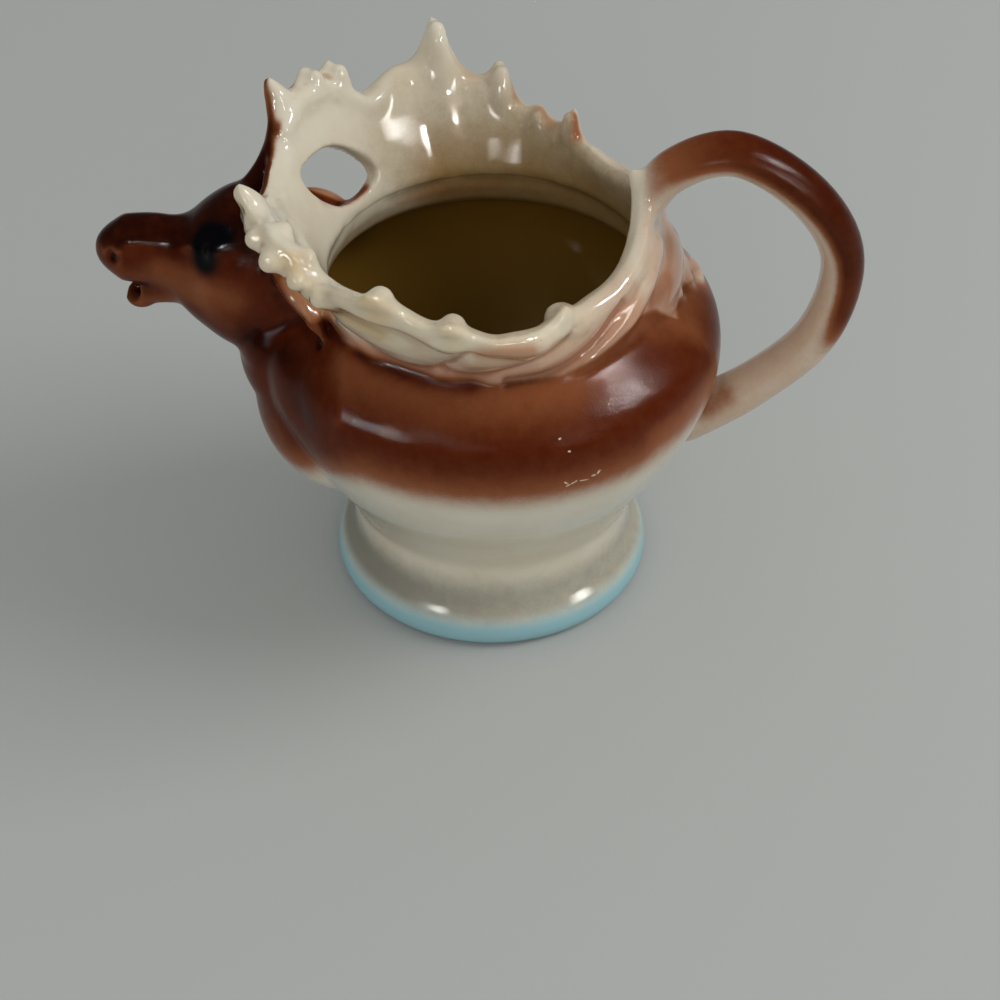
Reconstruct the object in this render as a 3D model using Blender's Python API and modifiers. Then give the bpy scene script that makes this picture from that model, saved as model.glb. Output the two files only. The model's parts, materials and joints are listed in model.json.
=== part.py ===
"""Elk creamer: a footed cream jug whose collar is a pair of palmate antlers, with an elk's
head for a spout and a ring handle.  Head toward -X, handle toward +X, up is +Z, foot on Z = 0."""

import math

import bmesh
import bpy
from mathutils import Matrix, Vector

MM = 0.001

# joints between the cast pieces
SEAM = 0.3 * MM

# pedestal foot
WAIST_RADIUS = 25.6 * MM
FOOT_FLARE = 4.7 * MM
FOOT_RADIUS = WAIST_RADIUS + FOOT_FLARE
FOOT_HEIGHT = 15.5 * MM
FOOT_EDGE = 2.6 * MM
FOOT_RING = 5.0 * MM
FOOT_RECESS = 1.6 * MM
FOOT_FLOOR = 3.6 * MM

# bowl
WALL = 3.2 * MM
BOWL_RADIUS = 42.4 * MM
BOWL_HEIGHT = 49.8 * MM
EQUATOR = 0.735
RIM_RADIUS = 32.1 * MM
RIM_Z = FOOT_HEIGHT + BOWL_HEIGHT

# reach of the two ends from the jug's own axis, which stands so that the box is centred
HEAD_REACH = 30.0 * MM
HANDLE_SPAN = 24.4 * MM
SNOUT_REACH = BOWL_RADIUS + HEAD_REACH
HANDLE_REACH = BOWL_RADIUS + HANDLE_SPAN
AXIS_X = (SNOUT_REACH - HANDLE_REACH) / 2

# antler collar: angles in degrees from the handle, heights above the rim
PALM = 3.8 * MM
REAR_RISE = 11.3 * MM
FRONT_RISE = 8.6 * MM
HANDLE_RISE = 9.0 * MM
BROW_DROP = 6.0 * MM
FLARE = 0.57
REAR_LEAN = -0.18
TINES = (
    (158.5, 8.2 * MM, 4.2),
    (146.5, 6.0 * MM, 3.6),
    (138.5, 5.6 * MM, 3.4),
    (108.8, 9.0 * MM, 5.0),
    (92.0, 5.0 * MM, 3.0),
    (80.0, 1.6 * MM, 2.4),
    (67.5, 4.8 * MM, 3.4),
)

# window in each antler, on the slope of the collar
WINDOW_ANGLE = 154.0
WINDOW_RISE = 8.8 * MM
WINDOW_LONG = 8.8 * MM
WINDOW_TALL = 5.2 * MM
WINDOW_TILT = -26.0

# head
HEAD_LENGTH = 26.4 * MM
HEAD_Z = RIM_Z + 2.2 * MM
MUZZLE = 6.7 * MM
NECK_TALL = 15.6 * MM
NECK_WIDE = 13.0 * MM
CHEST_RISE = 24.8 * MM
CHEST_OUT = 3.04 * MM
CHEST_SIZE = 20.0 * MM
JAW_RADIUS = 2.7 * MM
JAW_DROP = 9.2 * MM
JAW_SETBACK = 6.0 * MM
SPOUT_MOUTH = 1.7 * MM
SPOUT_THROAT = 5.2 * MM
SPOUT_DROP = 11.0 * MM
SPOUT_BENDS = ((0.395, 2.4 * MM), (0.605, -1.4 * MM))

# ears
EAR_LENGTH = 19.0 * MM
EAR_WIDE = 4.8 * MM
EAR_THICK = 3.4 * MM
EAR_ANGLE = 151.5
EAR_RISE = 3.4 * MM
EAR_SLOPE = 0.5

# handle, an oval section swept round the loop
HANDLE_THICK = 7.2 * MM
HANDLE_WIDE = 9.8 * MM
HANDLE_TOP = 28.0 * MM
HANDLE_ROOT = RIM_RADIUS - 5.1 * MM
HANDLE_FOOT_Z = RIM_Z - 28.0 * MM
FINGER_RADIUS = 2.8 * MM
FINGERS = ((-18.0, 1.0 * MM), (-3.0, 1.6 * MM), (15.0, 5.4 * MM))

ROUND = 48
LEVELS = (0.0, 0.3, 0.55, 0.75, 0.88, 0.96)


def clear_scene():
    """Empties the starting scene."""
    for item in list(bpy.data.objects):
        bpy.data.objects.remove(item, do_unlink=True)


def material(name, colour, roughness):
    """One glaze."""
    glaze = bpy.data.materials.new(name)
    glaze.use_nodes = True
    shader = glaze.node_tree.nodes["Principled BSDF"]
    shader.inputs["Base Color"].default_value = (*colour, 1.0)
    shader.inputs["Roughness"].default_value = roughness
    return glaze


def smoothstep(low, high, value):
    """Eases from 0 at low to 1 at high."""
    t = min(1.0, max(0.0, (value - low) / (high - low)))
    return t * t * (3.0 - 2.0 * t)


def curve_through(points, per):
    """Smooth run of points through the given ones, per steps to each span."""
    points = [Vector(p) for p in points]
    out = []
    for i in range(len(points) - 1):
        b, c = points[i], points[i + 1]
        a = points[i - 1] if i else b * 2 - c
        d = points[i + 2] if i + 2 < len(points) else c * 2 - b
        for step in range(per):
            t = step / per
            out.append(
                0.5 * (2 * b + (c - a) * t + (2 * a - 5 * b + 4 * c - d) * t * t
                       + (3 * b - a - 3 * c + d) * t ** 3)
            )
    out.append(points[-1])
    return out


def add_object(name, collection, mesh, glaze=None):
    """Links a mesh as a named object."""
    item = bpy.data.objects.new(name, mesh)
    collection.objects.link(item)
    if glaze:
        mesh.materials.append(glaze)
    return item


def lofted(name, collection, rings, glaze=None):
    """Closed solid through a run of rings of equal count, flat at both ends."""
    bm = bmesh.new()
    loops = [[bm.verts.new(p) for p in ring] for ring in rings]
    count = len(loops[0])
    for one, two in zip(loops, loops[1:]):
        for i in range(count):
            j = (i + 1) % count
            bm.faces.new((one[i], one[j], two[j], two[i]))
    bm.faces.new(list(reversed(loops[0])))
    bm.faces.new(loops[-1])
    bmesh.ops.recalc_face_normals(bm, faces=bm.faces)
    mesh = bpy.data.meshes.new(name)
    bm.to_mesh(mesh)
    bm.free()
    return add_object(name, collection, mesh, glaze)


def turned(name, collection, profile, closed, glaze=None):
    """Solid of revolution about the jug's axis from a profile at +X."""
    mesh = bpy.data.meshes.new(name)
    edges = [(i, i + 1) for i in range(len(profile) - 1)]
    if closed:
        edges.append((len(profile) - 1, 0))
    mesh.from_pydata([(r, 0.0, z) for r, z in profile], edges, [])
    item = add_object(name, collection, mesh, glaze)
    item.location.x = AXIS_X
    screw = item.modifiers.new("Turn", "SCREW")
    screw.axis = "Z"
    screw.steps = ROUND
    screw.render_steps = ROUND
    screw.use_merge_vertices = True
    screw.merge_threshold = 0.00001
    return item


def boolean(item, cutter, operation="DIFFERENCE"):
    """Exact boolean of one object by another."""
    step = item.modifiers.new(cutter.name, "BOOLEAN")
    step.operation = operation
    step.solver = "EXACT"
    step.object = cutter


def bowl_outer(per):
    """Outer side of the bowl, rim to waist, as (radius, height)."""
    run = curve_through(
        (
            (RIM_RADIUS, RIM_Z, 0.0),
            (BOWL_RADIUS * 0.955, FOOT_HEIGHT + BOWL_HEIGHT * 0.865, 0.0),
            (BOWL_RADIUS, FOOT_HEIGHT + BOWL_HEIGHT * EQUATOR, 0.0),
            (BOWL_RADIUS * 0.975, FOOT_HEIGHT + BOWL_HEIGHT * 0.58, 0.0),
            (BOWL_RADIUS * 0.865, FOOT_HEIGHT + BOWL_HEIGHT * 0.375, 0.0),
            (BOWL_RADIUS * 0.7, FOOT_HEIGHT + BOWL_HEIGHT * 0.19, 0.0),
            (WAIST_RADIUS, FOOT_HEIGHT, 0.0),
        ),
        per,
    )
    return [(p.x, p.y) for p in run]


def inset(run, amount):
    """The run moved sideways by an amount, toward the axis if positive."""
    out = []
    for i, (r, z) in enumerate(run):
        before, after = run[max(0, i - 1)], run[min(len(run) - 1, i + 1)]
        along = Vector((after[0] - before[0], after[1] - before[1])).normalized()
        out.append((r + along.y * amount, z - along.x * amount))
    out[0] = (out[0][0], run[0][1])
    out[-1] = (out[-1][0], run[-1][1])
    return out


def edge_rise(angle):
    """Height of the antler's edge above the rim at an angle from the handle."""
    rise = REAR_RISE + FRONT_RISE * smoothstep(74.0, 124.0, angle)
    rise += HANDLE_RISE * (1.0 - smoothstep(0.0, 42.0, angle))
    rise -= BROW_DROP * smoothstep(160.0, 178.0, angle)
    for centre, height, spread in TINES:
        rise += height * math.exp(-(((angle - centre) / spread) ** 2))
    return rise


def lean(angle):
    """Outward slope of the collar at an angle from the handle."""
    return REAR_LEAN + (FLARE - REAR_LEAN) * smoothstep(45.0, 86.0, angle)


def collar_point(angle, share, side, outward, lift=0.0):
    """Point on the collar at a share of its height, moved outward and up by distances."""
    rise = edge_rise(angle) * share + lift
    radius = RIM_RADIUS - PALM / 2 + lean(angle) * rise * (0.82 + 0.18 * share) + outward
    turn = math.radians(angle)
    return Vector(
        (AXIS_X + radius * math.cos(turn), side * radius * math.sin(turn), RIM_Z + SEAM + rise)
    )


def collar_angles():
    """Angles of the antler's sections, closer together at the tines."""
    marks = {round(2.0 + 176.0 * i / 36, 3) for i in range(37)}
    for centre, _, spread in TINES:
        marks.update(round(centre + spread * k, 3) for k in (-1.6, -1.0, -0.5, 0.0, 0.5, 1.0, 1.6))
    out = []
    for mark in sorted(marks):
        if not out or mark - out[-1] > 0.7:
            out.append(mark)
    return out


def antler(name, collection, side, glaze):
    """Half of the collar: one palmate antler, with a rounded edge."""
    rings = []
    for angle in collar_angles():
        ring = []
        for share in LEVELS:
            ring.append(collar_point(angle, share, side, PALM / 2 * edge_round(share)))
        ring.append(collar_point(angle, 1.0, side, 0.0))
        for share in reversed(LEVELS):
            ring.append(collar_point(angle, share, side, -PALM / 2 * edge_round(share)))
        rings.append(ring)
    for ring in (rings[0], rings[-1]):
        for p in ring:
            p.y = side * SEAM / 2
    return lofted(name, collection, rings, glaze)


def edge_round(share):
    """Share of the wall left toward the edge."""
    t = max(0.0, (share - 0.7) / 0.3)
    return math.sqrt(max(0.0, 1.0 - t * t)) * 0.9 + 0.1 if t < 1.0 else 0.0


def collar_core(name, collection):
    """Filled collar, a seam's width larger, that trims whatever is stuck on outside."""
    bm = bmesh.new()
    loops = []
    span = collar_angles()
    angles = [(a, 1) for a in span] + [(a, -1) for a in reversed(span)]
    for share in (-0.4,) + LEVELS + (1.0,):
        reach = PALM / 2 * edge_round(share) + SEAM
        lift = SEAM * smoothstep(0.9, 1.0, share)
        loops.append([bm.verts.new(collar_point(a, share, s, reach, lift)) for a, s in angles])
    top = bm.verts.new((AXIS_X, 0.0, RIM_Z + 31.0 * MM))
    low = bm.verts.new((AXIS_X, 0.0, RIM_Z - 8.0 * MM))
    count = len(angles)
    for i in range(count):
        j = (i + 1) % count
        for one, two in zip(loops, loops[1:]):
            bm.faces.new((one[i], one[j], two[j], two[i]))
        bm.faces.new((loops[-1][i], loops[-1][j], top))
        bm.faces.new((loops[0][j], loops[0][i], low))
    bmesh.ops.recalc_face_normals(bm, faces=bm.faces)
    mesh = bpy.data.meshes.new(name)
    bm.to_mesh(mesh)
    bm.free()
    return add_object(name, collection, mesh)


def window_cutter(name, collection, side):
    """Rounded lozenge that pierces the antler square to its slope."""
    rise = edge_rise(WINDOW_ANGLE)
    centre = collar_point(WINDOW_ANGLE, WINDOW_RISE / rise, side, 0.0)
    turn = math.radians(WINDOW_ANGLE)
    radial = Vector((math.cos(turn), side * math.sin(turn), 0.0))
    along = Vector((-math.sin(turn), side * math.cos(turn), 0.0))
    up = (radial * FLARE + Vector((0.0, 0.0, 1.0))).normalized()
    through = along.cross(up).normalized()
    tilt = math.radians(WINDOW_TILT)
    wide = along * math.cos(tilt) - up * math.sin(tilt)
    tall = along * math.sin(tilt) + up * math.cos(tilt)
    rings = []
    for depth in (-4.0 * PALM, 4.0 * PALM):
        ring = []
        for i in range(28):
            a = 2.0 * math.pi * i / 28
            x = math.copysign(abs(math.cos(a)) ** 1.25, math.cos(a)) * WINDOW_LONG
            y = math.copysign(abs(math.sin(a)) ** 1.25, math.sin(a)) * WINDOW_TALL
            ring.append(centre + wide * x + tall * y + through * depth)
        rings.append(ring)
    return lofted(name, collection, rings)


def oval(centre, wide, tall, count=22):
    """Upright oval across the X axis."""
    return [
        centre + Vector((0.0, wide * math.cos(2 * math.pi * i / count),
                         tall * math.sin(2 * math.pi * i / count)))
        for i in range(count)
    ]


def head_skin(name, collection, glaze):
    """Muzzle, skull and neck as one run of upright ovals from snout to collar."""
    tip = AXIS_X - SNOUT_REACH
    rings = []
    for share in (0.0, 0.015, 0.045, 0.09, 0.15, 0.24, 0.34, 0.44, 0.58, 0.72, 0.86, 1.0, 1.2, 1.45, 1.7):
        nose = math.sqrt(min(1.0, share / 0.15 + 0.004))
        swell = smoothstep(0.42, 1.06, share)
        tall = MUZZLE * nose * (0.9 + 0.1 * smoothstep(0.1, 0.4, share))
        tall += (NECK_TALL - MUZZLE) * swell - 3.0 * MM * smoothstep(1.0, 1.6, share)
        wide = MUZZLE * 0.85 * nose + (NECK_WIDE - MUZZLE * 0.85) * swell
        wide += 3.0 * MM * smoothstep(1.0, 1.7, share)
        drop = 3.4 * MM * smoothstep(0.42, 0.7, share)
        centre = Vector((tip + HEAD_LENGTH * share, 0.0, HEAD_Z + 0.2 * MM - drop))
        rings.append(oval(centre, wide, tall))
    return lofted(name, collection, rings, glaze)


def ball(name, collection, centre, size, glaze=None):
    """Smooth ellipsoid."""
    bm = bmesh.new()
    bmesh.ops.create_uvsphere(bm, u_segments=24, v_segments=14, radius=1.0)
    bmesh.ops.transform(bm, matrix=Matrix.Translation(centre) @ Matrix.Diagonal((*size, 1.0)),
                        verts=bm.verts)
    mesh = bpy.data.meshes.new(name)
    bm.to_mesh(mesh)
    bm.free()
    return add_object(name, collection, mesh, glaze)


def swept(name, collection, path, radii, count=16, glaze=None):
    """Round or oval section carried along a path in or near the XZ plane."""
    rings = []
    for i, (point, (thick, wide)) in enumerate(zip(path, radii)):
        ahead = path[min(len(path) - 1, i + 1)] - path[max(0, i - 1)]
        ahead.normalize()
        across = Vector((0.0, 1.0, 0.0)) - ahead * ahead.y
        across.normalize()
        out = ahead.cross(across)
        rings.append(
            [
                point + across * (wide * math.cos(2 * math.pi * k / count))
                + out * (thick * math.sin(2 * math.pi * k / count))
                for k in range(count)
            ]
        )
    return lofted(name, collection, rings, glaze)


def spout_path():
    """Middle of the pouring channel, mouth to bowl."""
    mouth = Vector((AXIS_X - SNOUT_REACH + JAW_SETBACK, 0.0, HEAD_Z - JAW_DROP))
    bowl = Vector((AXIS_X - BOWL_RADIUS + 2.0 * WALL, 0.0, RIM_Z - SPOUT_DROP))
    bends = [
        Vector((mouth.x + (bowl.x - mouth.x) * share, 0.0, mouth.z + lift))
        for share, lift in SPOUT_BENDS
    ]
    return curve_through([mouth - Vector((3.0 * MM, 0.0, 0.4 * MM)), mouth, *bends, bowl], 4)


def spout_cutter(name, collection):
    """Pouring channel that widens from the mouth to the bowl."""
    path = spout_path()
    radii = []
    for i in range(len(path)):
        grow = smoothstep(0.2, 0.9, i / (len(path) - 1))
        wide = SPOUT_MOUTH * 1.5 + (SPOUT_THROAT - SPOUT_MOUTH * 1.5) * grow
        radii.append((SPOUT_MOUTH + (SPOUT_THROAT - SPOUT_MOUTH) * grow, wide))
    return swept(name, collection, path, radii)


def jaw_skin(name, collection):
    """Lower jaw, a short stub under the muzzle that runs back into the throat."""
    path = spout_path()[4:13]
    radii = [
        (JAW_RADIUS * (0.9 + 0.08 * i), JAW_RADIUS * (1.34 + 0.07 * i))
        for i in range(len(path))
    ]
    return swept(name, collection, path, radii)


def ear(name, collection, side, glaze):
    """Leaf laid back along the foot of the antler."""
    turn = math.radians(EAR_ANGLE)
    rise = EAR_RISE
    reach = RIM_RADIUS + FLARE * rise + EAR_THICK * 0.42
    radial = Vector((math.cos(turn), side * math.sin(turn), 0.0))
    along = Vector((-math.sin(turn), side * math.cos(turn), EAR_SLOPE)).normalized()
    out = (radial - along * radial.dot(along)).normalized()
    up = along.cross(out).normalized()
    centre = Vector((AXIS_X, 0.0, RIM_Z + rise)) + radial * reach
    rings = []
    for i in range(13):
        share = -1.0 + 2.0 * i / 12
        body = max(0.06, (1.0 - abs(share) ** 2.2)) ** 0.6
        bend = -out * (0.16 * EAR_LENGTH * share * share)
        point = centre + along * (share * EAR_LENGTH / 2) + bend
        rings.append(
            [
                point + up * (EAR_WIDE / 2 * body * math.cos(2 * math.pi * k / 14))
                + out * (EAR_THICK / 2 * body * math.sin(2 * math.pi * k / 14))
                for k in range(14)
            ]
        )
    return lofted(name, collection, rings, glaze)


def handle_path():
    """Middle of the handle, from the back of the collar round to the bowl."""
    outer = AXIS_X + HANDLE_REACH - HANDLE_THICK / 2
    root = AXIS_X + HANDLE_ROOT
    top = RIM_Z + HANDLE_TOP
    foot = Vector((AXIS_X + BOWL_RADIUS * 0.86, 0.0, HANDLE_FOOT_Z - 3.0 * MM))
    span = outer - root
    fall = top - HANDLE_FOOT_Z
    return curve_through(
        (
            (AXIS_X + RIM_RADIUS - 0.6 * MM, 0.0, RIM_Z + 0.5 * MM),
            (AXIS_X + RIM_RADIUS - 2.0 * MM, 0.0, RIM_Z + 8.0 * MM),
            (root + 0.6 * MM, 0.0, top - fall * 0.22),
            (root + span * 0.13, 0.0, top - fall * 0.07),
            (root + span * 0.44, 0.0, top),
            (root + span * 0.82, 0.0, top - fall * 0.145),
            (outer, 0.0, top - fall * 0.375),
            (root + span * 0.91, 0.0, top - fall * 0.68),
            (root + span * 0.6, 0.0, HANDLE_FOOT_Z + fall * 0.105),
            foot,
        ),
        5,
    )


def handle_loop(name, collection, glaze):
    """Oval tube round the loop, slimmer toward the upper root."""
    path = handle_path()
    radii = []
    for i in range(len(path)):
        slim = 0.78 + 0.22 * smoothstep(0.0, 0.3, i / (len(path) - 1))
        radii.append((HANDLE_THICK / 2 * slim, HANDLE_WIDE / 2 * slim))
    return swept(name, collection, path, radii, 16, glaze)


def bowl_radius_at(height):
    """Outer radius of the bowl at a height."""
    run = bowl_outer(8)
    for (r1, z1), (r2, z2) in zip(run, run[1:]):
        if z2 <= height <= z1:
            return r2 + (r1 - r2) * (height - z2) / (z1 - z2)
    return RIM_RADIUS


def finger(name, collection, spread, drop):
    """One pointed finger of the handle's root, lying on the shoulder of the bowl."""
    points = []
    for share in (0.0, 0.4, 0.75, 1.0):
        turn = math.radians(spread * share)
        height = RIM_Z + 7.0 * MM * (1.0 - share) - drop * share
        radius = bowl_radius_at(min(height, RIM_Z)) + FINGER_RADIUS * 0.25
        points.append((AXIS_X + radius * math.cos(turn), radius * math.sin(turn), height))
    path = curve_through(points, 3)
    radii = []
    for i in range(len(path)):
        size = FINGER_RADIUS * (1.2 - 0.85 * i / (len(path) - 1))
        radii.append((size, size))
    return swept(name, collection, path, radii, 10)


def build():
    """Makes every piece of the jug."""
    clear_scene()
    parts = bpy.data.collections.new("elk_creamer")
    tools = bpy.data.collections.new("cutters")
    bpy.context.scene.collection.children.link(parts)
    bpy.context.scene.collection.children.link(tools)

    brown = material("brown_glaze", (0.16, 0.05, 0.03), 0.35)
    cream = material("cream_glaze", (0.72, 0.62, 0.5), 0.2)
    blue = material("blue_glaze", (0.45, 0.58, 0.66), 0.2)

    outer = bowl_outer(3)
    lifted = [(r, z + (SEAM if i == len(outer) - 1 else 0.0)) for i, (r, z) in enumerate(outer)]
    inner = [(r, z) for r, z in reversed(inset(lifted, WALL))]
    bowl = turned("bowl", parts, inner + lifted, True, brown)

    flare = curve_through(
        (
            (WAIST_RADIUS, FOOT_HEIGHT, 0.0),
            (WAIST_RADIUS * 1.035, FOOT_HEIGHT * 0.6, 0.0),
            (FOOT_RADIUS - FOOT_EDGE * 0.3, FOOT_EDGE * 2.0, 0.0),
            (FOOT_RADIUS, FOOT_EDGE, 0.0),
            (FOOT_RADIUS - FOOT_EDGE * 0.3, FOOT_EDGE * 0.3, 0.0),
            (FOOT_RADIUS - FOOT_EDGE, 0.0, 0.0),
        ),
        3,
    )
    skirt = [(p.x, p.y) for p in flare]
    hollow = [
        (0.0, FOOT_FLOOR + FOOT_RECESS),
        (WAIST_RADIUS - WALL - 2.0 * MM, FOOT_FLOOR + FOOT_RECESS),
        (WAIST_RADIUS - WALL, FOOT_FLOOR + FOOT_RECESS + 2.0 * MM),
        (WAIST_RADIUS - WALL, FOOT_HEIGHT),
    ]
    ring = FOOT_RADIUS - FOOT_EDGE - FOOT_RING
    under = [(ring, 0.0), (ring - FOOT_RECESS * 0.6, FOOT_RECESS), (0.0, FOOT_RECESS)]
    turned("pedestal_foot", parts, hollow + skirt + under, False, blue)

    shell = [(RIM_RADIUS + SEAM, RIM_Z + SEAM)] + inset(outer, -SEAM)[1:]
    fill = [(0.0, RIM_Z + SEAM)] + shell + [(0.0, FOOT_HEIGHT)]
    bowl_fill = turned("bowl_fill", tools, fill, False)
    core = collar_core("collar_core", tools)
    spout = spout_cutter("spout_channel", tools)
    boolean(bowl, spout)

    ears = {}
    for side, hand in ((-1, "left"), (1, "right")):
        palm = antler(hand + "_antler", parts, side, cream)
        boolean(palm, window_cutter(hand + "_window", tools, side))
        leaf = ear(hand + "_ear", parts, side, brown)
        boolean(leaf, core)
        boolean(leaf, bowl_fill)
        ears[side] = leaf

    head = head_skin("head", parts, brown)
    chest = ball(
        "chest", tools,
        Vector((AXIS_X - BOWL_RADIUS - CHEST_OUT + CHEST_SIZE, 0.0, FOOT_HEIGHT + CHEST_RISE)),
        (CHEST_SIZE, CHEST_SIZE * 1.3, CHEST_SIZE),
    )
    boolean(head, chest, "UNION")
    boolean(head, jaw_skin("jaw", tools), "UNION")
    boolean(head, core)
    boolean(head, bowl_fill)
    for side, hand in ((-1, "left"), (1, "right")):
        seat = ear(hand + "_ear_seat", tools, side, None)
        grow = seat.modifiers.new("Grow", "DISPLACE")
        grow.strength = SEAM
        grow.mid_level = 0.0
        boolean(head, seat)
    boolean(head, spout)

    handle = handle_loop("handle", parts, brown)
    for i, (spread, drop) in enumerate(FINGERS):
        boolean(handle, finger(f"root_finger_{i}", tools, spread, drop), "UNION")
    boolean(handle, core)
    boolean(handle, bowl_fill)

    for item in tools.objects:
        item.hide_render = True
        item.display_type = "WIRE"


build()
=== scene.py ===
"""Looks of the elk creamer: a slip-cast cream jug with an airbrushed glaze.

Each sub-assembly is a class that lays up closed lumps of clay with mesh operators.  The casting
fuses the lumps, softens the joins as slip does, tools the creases, and is then parted into the
named pieces of the frame.  One glaze, laid by coordinates and airbrush masks, runs over them all;
some of its coats are painted light: shade in hollows, creases and on the foot, and sheen on the snout.
"""

import json
import logging
import math
from dataclasses import dataclass, field, replace
from enum import Enum
from functools import lru_cache
from typing import Iterable, Sequence, TypeVar

import bmesh
import bpy
import numpy as np
from mathutils import Matrix, Vector
from mathutils.bvhtree import BVHTree
from mathutils.kdtree import KDTree

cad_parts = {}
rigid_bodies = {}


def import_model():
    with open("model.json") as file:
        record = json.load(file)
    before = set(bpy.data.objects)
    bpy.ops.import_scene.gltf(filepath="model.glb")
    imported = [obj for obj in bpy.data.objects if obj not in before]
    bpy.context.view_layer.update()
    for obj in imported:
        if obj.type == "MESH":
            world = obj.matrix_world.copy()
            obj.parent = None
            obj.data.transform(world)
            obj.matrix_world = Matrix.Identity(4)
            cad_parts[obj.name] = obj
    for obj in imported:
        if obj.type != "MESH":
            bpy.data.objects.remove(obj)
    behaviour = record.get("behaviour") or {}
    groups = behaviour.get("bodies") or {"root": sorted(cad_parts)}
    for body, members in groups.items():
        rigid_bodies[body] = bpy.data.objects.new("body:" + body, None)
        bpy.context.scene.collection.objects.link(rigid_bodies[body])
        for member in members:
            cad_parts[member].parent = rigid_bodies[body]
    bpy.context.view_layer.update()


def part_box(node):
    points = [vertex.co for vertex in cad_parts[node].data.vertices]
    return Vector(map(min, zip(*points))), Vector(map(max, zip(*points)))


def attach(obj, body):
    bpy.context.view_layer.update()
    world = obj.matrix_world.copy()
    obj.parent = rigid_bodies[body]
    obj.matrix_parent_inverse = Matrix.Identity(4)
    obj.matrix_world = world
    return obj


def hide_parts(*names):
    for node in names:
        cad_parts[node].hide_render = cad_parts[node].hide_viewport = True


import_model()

LOG = logging.getLogger("elk_creamer")
MM = 0.001
# Grain of the fused skin, and the most triangles that a piece may have.
VOXEL = 0.47
LIMIT = 190_000
# Height of the ledge inside the rim.
LEDGE = 67.5
# Distance of the antlers' outer face from the middle of their thickness.
FACE = 1.9
# Turns, in radians, of the rings that round off the end of a roll.
CAP = (0.0, 0.4, 0.75, 1.1, 1.45)
UP = Vector((0.0, 0.0, 1.0))
Colour = tuple[float, float, float]
Numbers = float | np.ndarray
Path = tuple[tuple[float, float, float], ...]


class Hand(Enum):
    """Side of the animal, with the sign of its Y."""

    LEFT = -1
    RIGHT = 1


class Coat(Enum):
    """Airbrush coats and painted shade and light.  Each is an attribute of the finished pieces."""

    BROWN = "brown"
    DARK = "dark"
    BLACK = "black"
    BLUSH = "blush"
    AMBER = "amber"
    # Blue-grey of the foot: partly airbrush, partly painted shade in the concave flare and on the side away
    # from the key light.
    GREY_AND_SHADE = "grey_and_shade"
    DEEP = "deep"
    BLUE = "blue"
    # How hollow the skin is: painted shade in its hollows, and lighter brown on its ridges, partly as a
    # painted highlight.
    RELIEF_SHADE = "relief_shade"


class Slot(Enum):
    """Material slots of the record."""

    BROWN = "brown_glaze"
    CREAM = "cream_glaze"
    BLUE = "blue_glaze"


def smoothstep(low: Numbers, high: Numbers, value: Numbers) -> Numbers:
    """Eases from 0 at low to 1 at high.

    Args:
        low: where the rise starts.
        high: where the rise ends.
        value: number or array to ease.

    Returns:
        The eased share, of the same kind as value.
    """
    share = np.clip((value - low) / (high - low), 0.0, 1.0)
    return share * share * (3.0 - 2.0 * share)


def bell(middle: float, width: float, value: Numbers) -> Numbers:
    """Bell curve that is 1 at its middle.

    Args:
        middle: where it is highest.
        width: distance over which it falls to about a third.
        value: number or array to look at.

    Returns:
        The height, of the same kind as value.
    """
    return np.exp(-(((value - middle) / width) ** 2))


def spline(points: Iterable[Sequence[float]], per: int) -> list[Vector]:
    """Smooth run of points through the given ones.

    Args:
        points: marks that the run goes through.
        per: steps to each span.

    Returns:
        The points of the run.
    """
    marks = [Vector(p) for p in points]
    out: list[Vector] = []
    for i in range(len(marks) - 1):
        b, c = marks[i], marks[i + 1]
        a = marks[i - 1] if i else b * 2 - c
        d = marks[i + 2] if i + 2 < len(marks) else c * 2 - b
        for step in range(per):
            t = step / per
            out.append(
                0.5
                * (
                    2 * b
                    + (c - a) * t
                    + (2 * a - 5 * b + 4 * c - d) * t * t
                    + (3 * b - a - 3 * c + d) * t**3
                )
            )
    out.append(marks[-1])
    return out


def loft(rings: Sequence[Sequence[Vector]]) -> bmesh.types.BMesh:
    """Closed lump drawn out through a run of rings.

    Args:
        rings: sections of equal count, first to last.

    Returns:
        The lump.
    """
    bm = bmesh.new()
    bmesh.ops.create_circle(bm, cap_ends=True, segments=len(rings[0]), radius=1.0)
    bm.faces.ensure_lookup_table()
    cap = bm.faces[0]
    for i, ring in enumerate(rings):
        if i:
            made = bmesh.ops.extrude_face_region(bm, geom=[cap])["geom"]
            if i > 1:
                bmesh.ops.delete(bm, geom=[cap], context="FACES_ONLY")
            cap = next(g for g in made if isinstance(g, bmesh.types.BMFace))
        for vert, point in zip(cap.verts, ring):
            vert.co = point
    bmesh.ops.recalc_face_normals(bm, faces=bm.faces)
    return bm


def revolve(profile: Sequence[tuple[float, float]], steps: int = 144) -> bmesh.types.BMesh:
    """Closed lump turned about the jug's axis.

    Args:
        profile: (radius, height) marks of a closed outline.
        steps: sections round the turn.

    Returns:
        The lump.
    """
    bm = bmesh.new()
    first = last = bmesh.ops.create_vert(bm, co=(profile[0][0], 0.0, profile[0][1]))["vert"][0]
    for radius, height in profile[1:]:
        last = bmesh.ops.extrude_vert_indiv(bm, verts=[last])["verts"][0]
        last.co = (radius, 0.0, height)
    if profile[0][0] > 0.01 or profile[-1][0] > 0.01:
        bmesh.ops.contextual_create(bm, geom=[first, last])
    bmesh.ops.spin(
        bm,
        geom=bm.verts[:] + bm.edges[:],
        cent=(0.0, 0.0, 0.0),
        axis=(0.0, 0.0, 1.0),
        angle=2.0 * math.pi,
        steps=steps,
        use_merge=True,
    )
    bmesh.ops.remove_doubles(bm, verts=bm.verts, dist=0.001)
    bmesh.ops.recalc_face_normals(bm, faces=bm.faces)
    return bm


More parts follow.
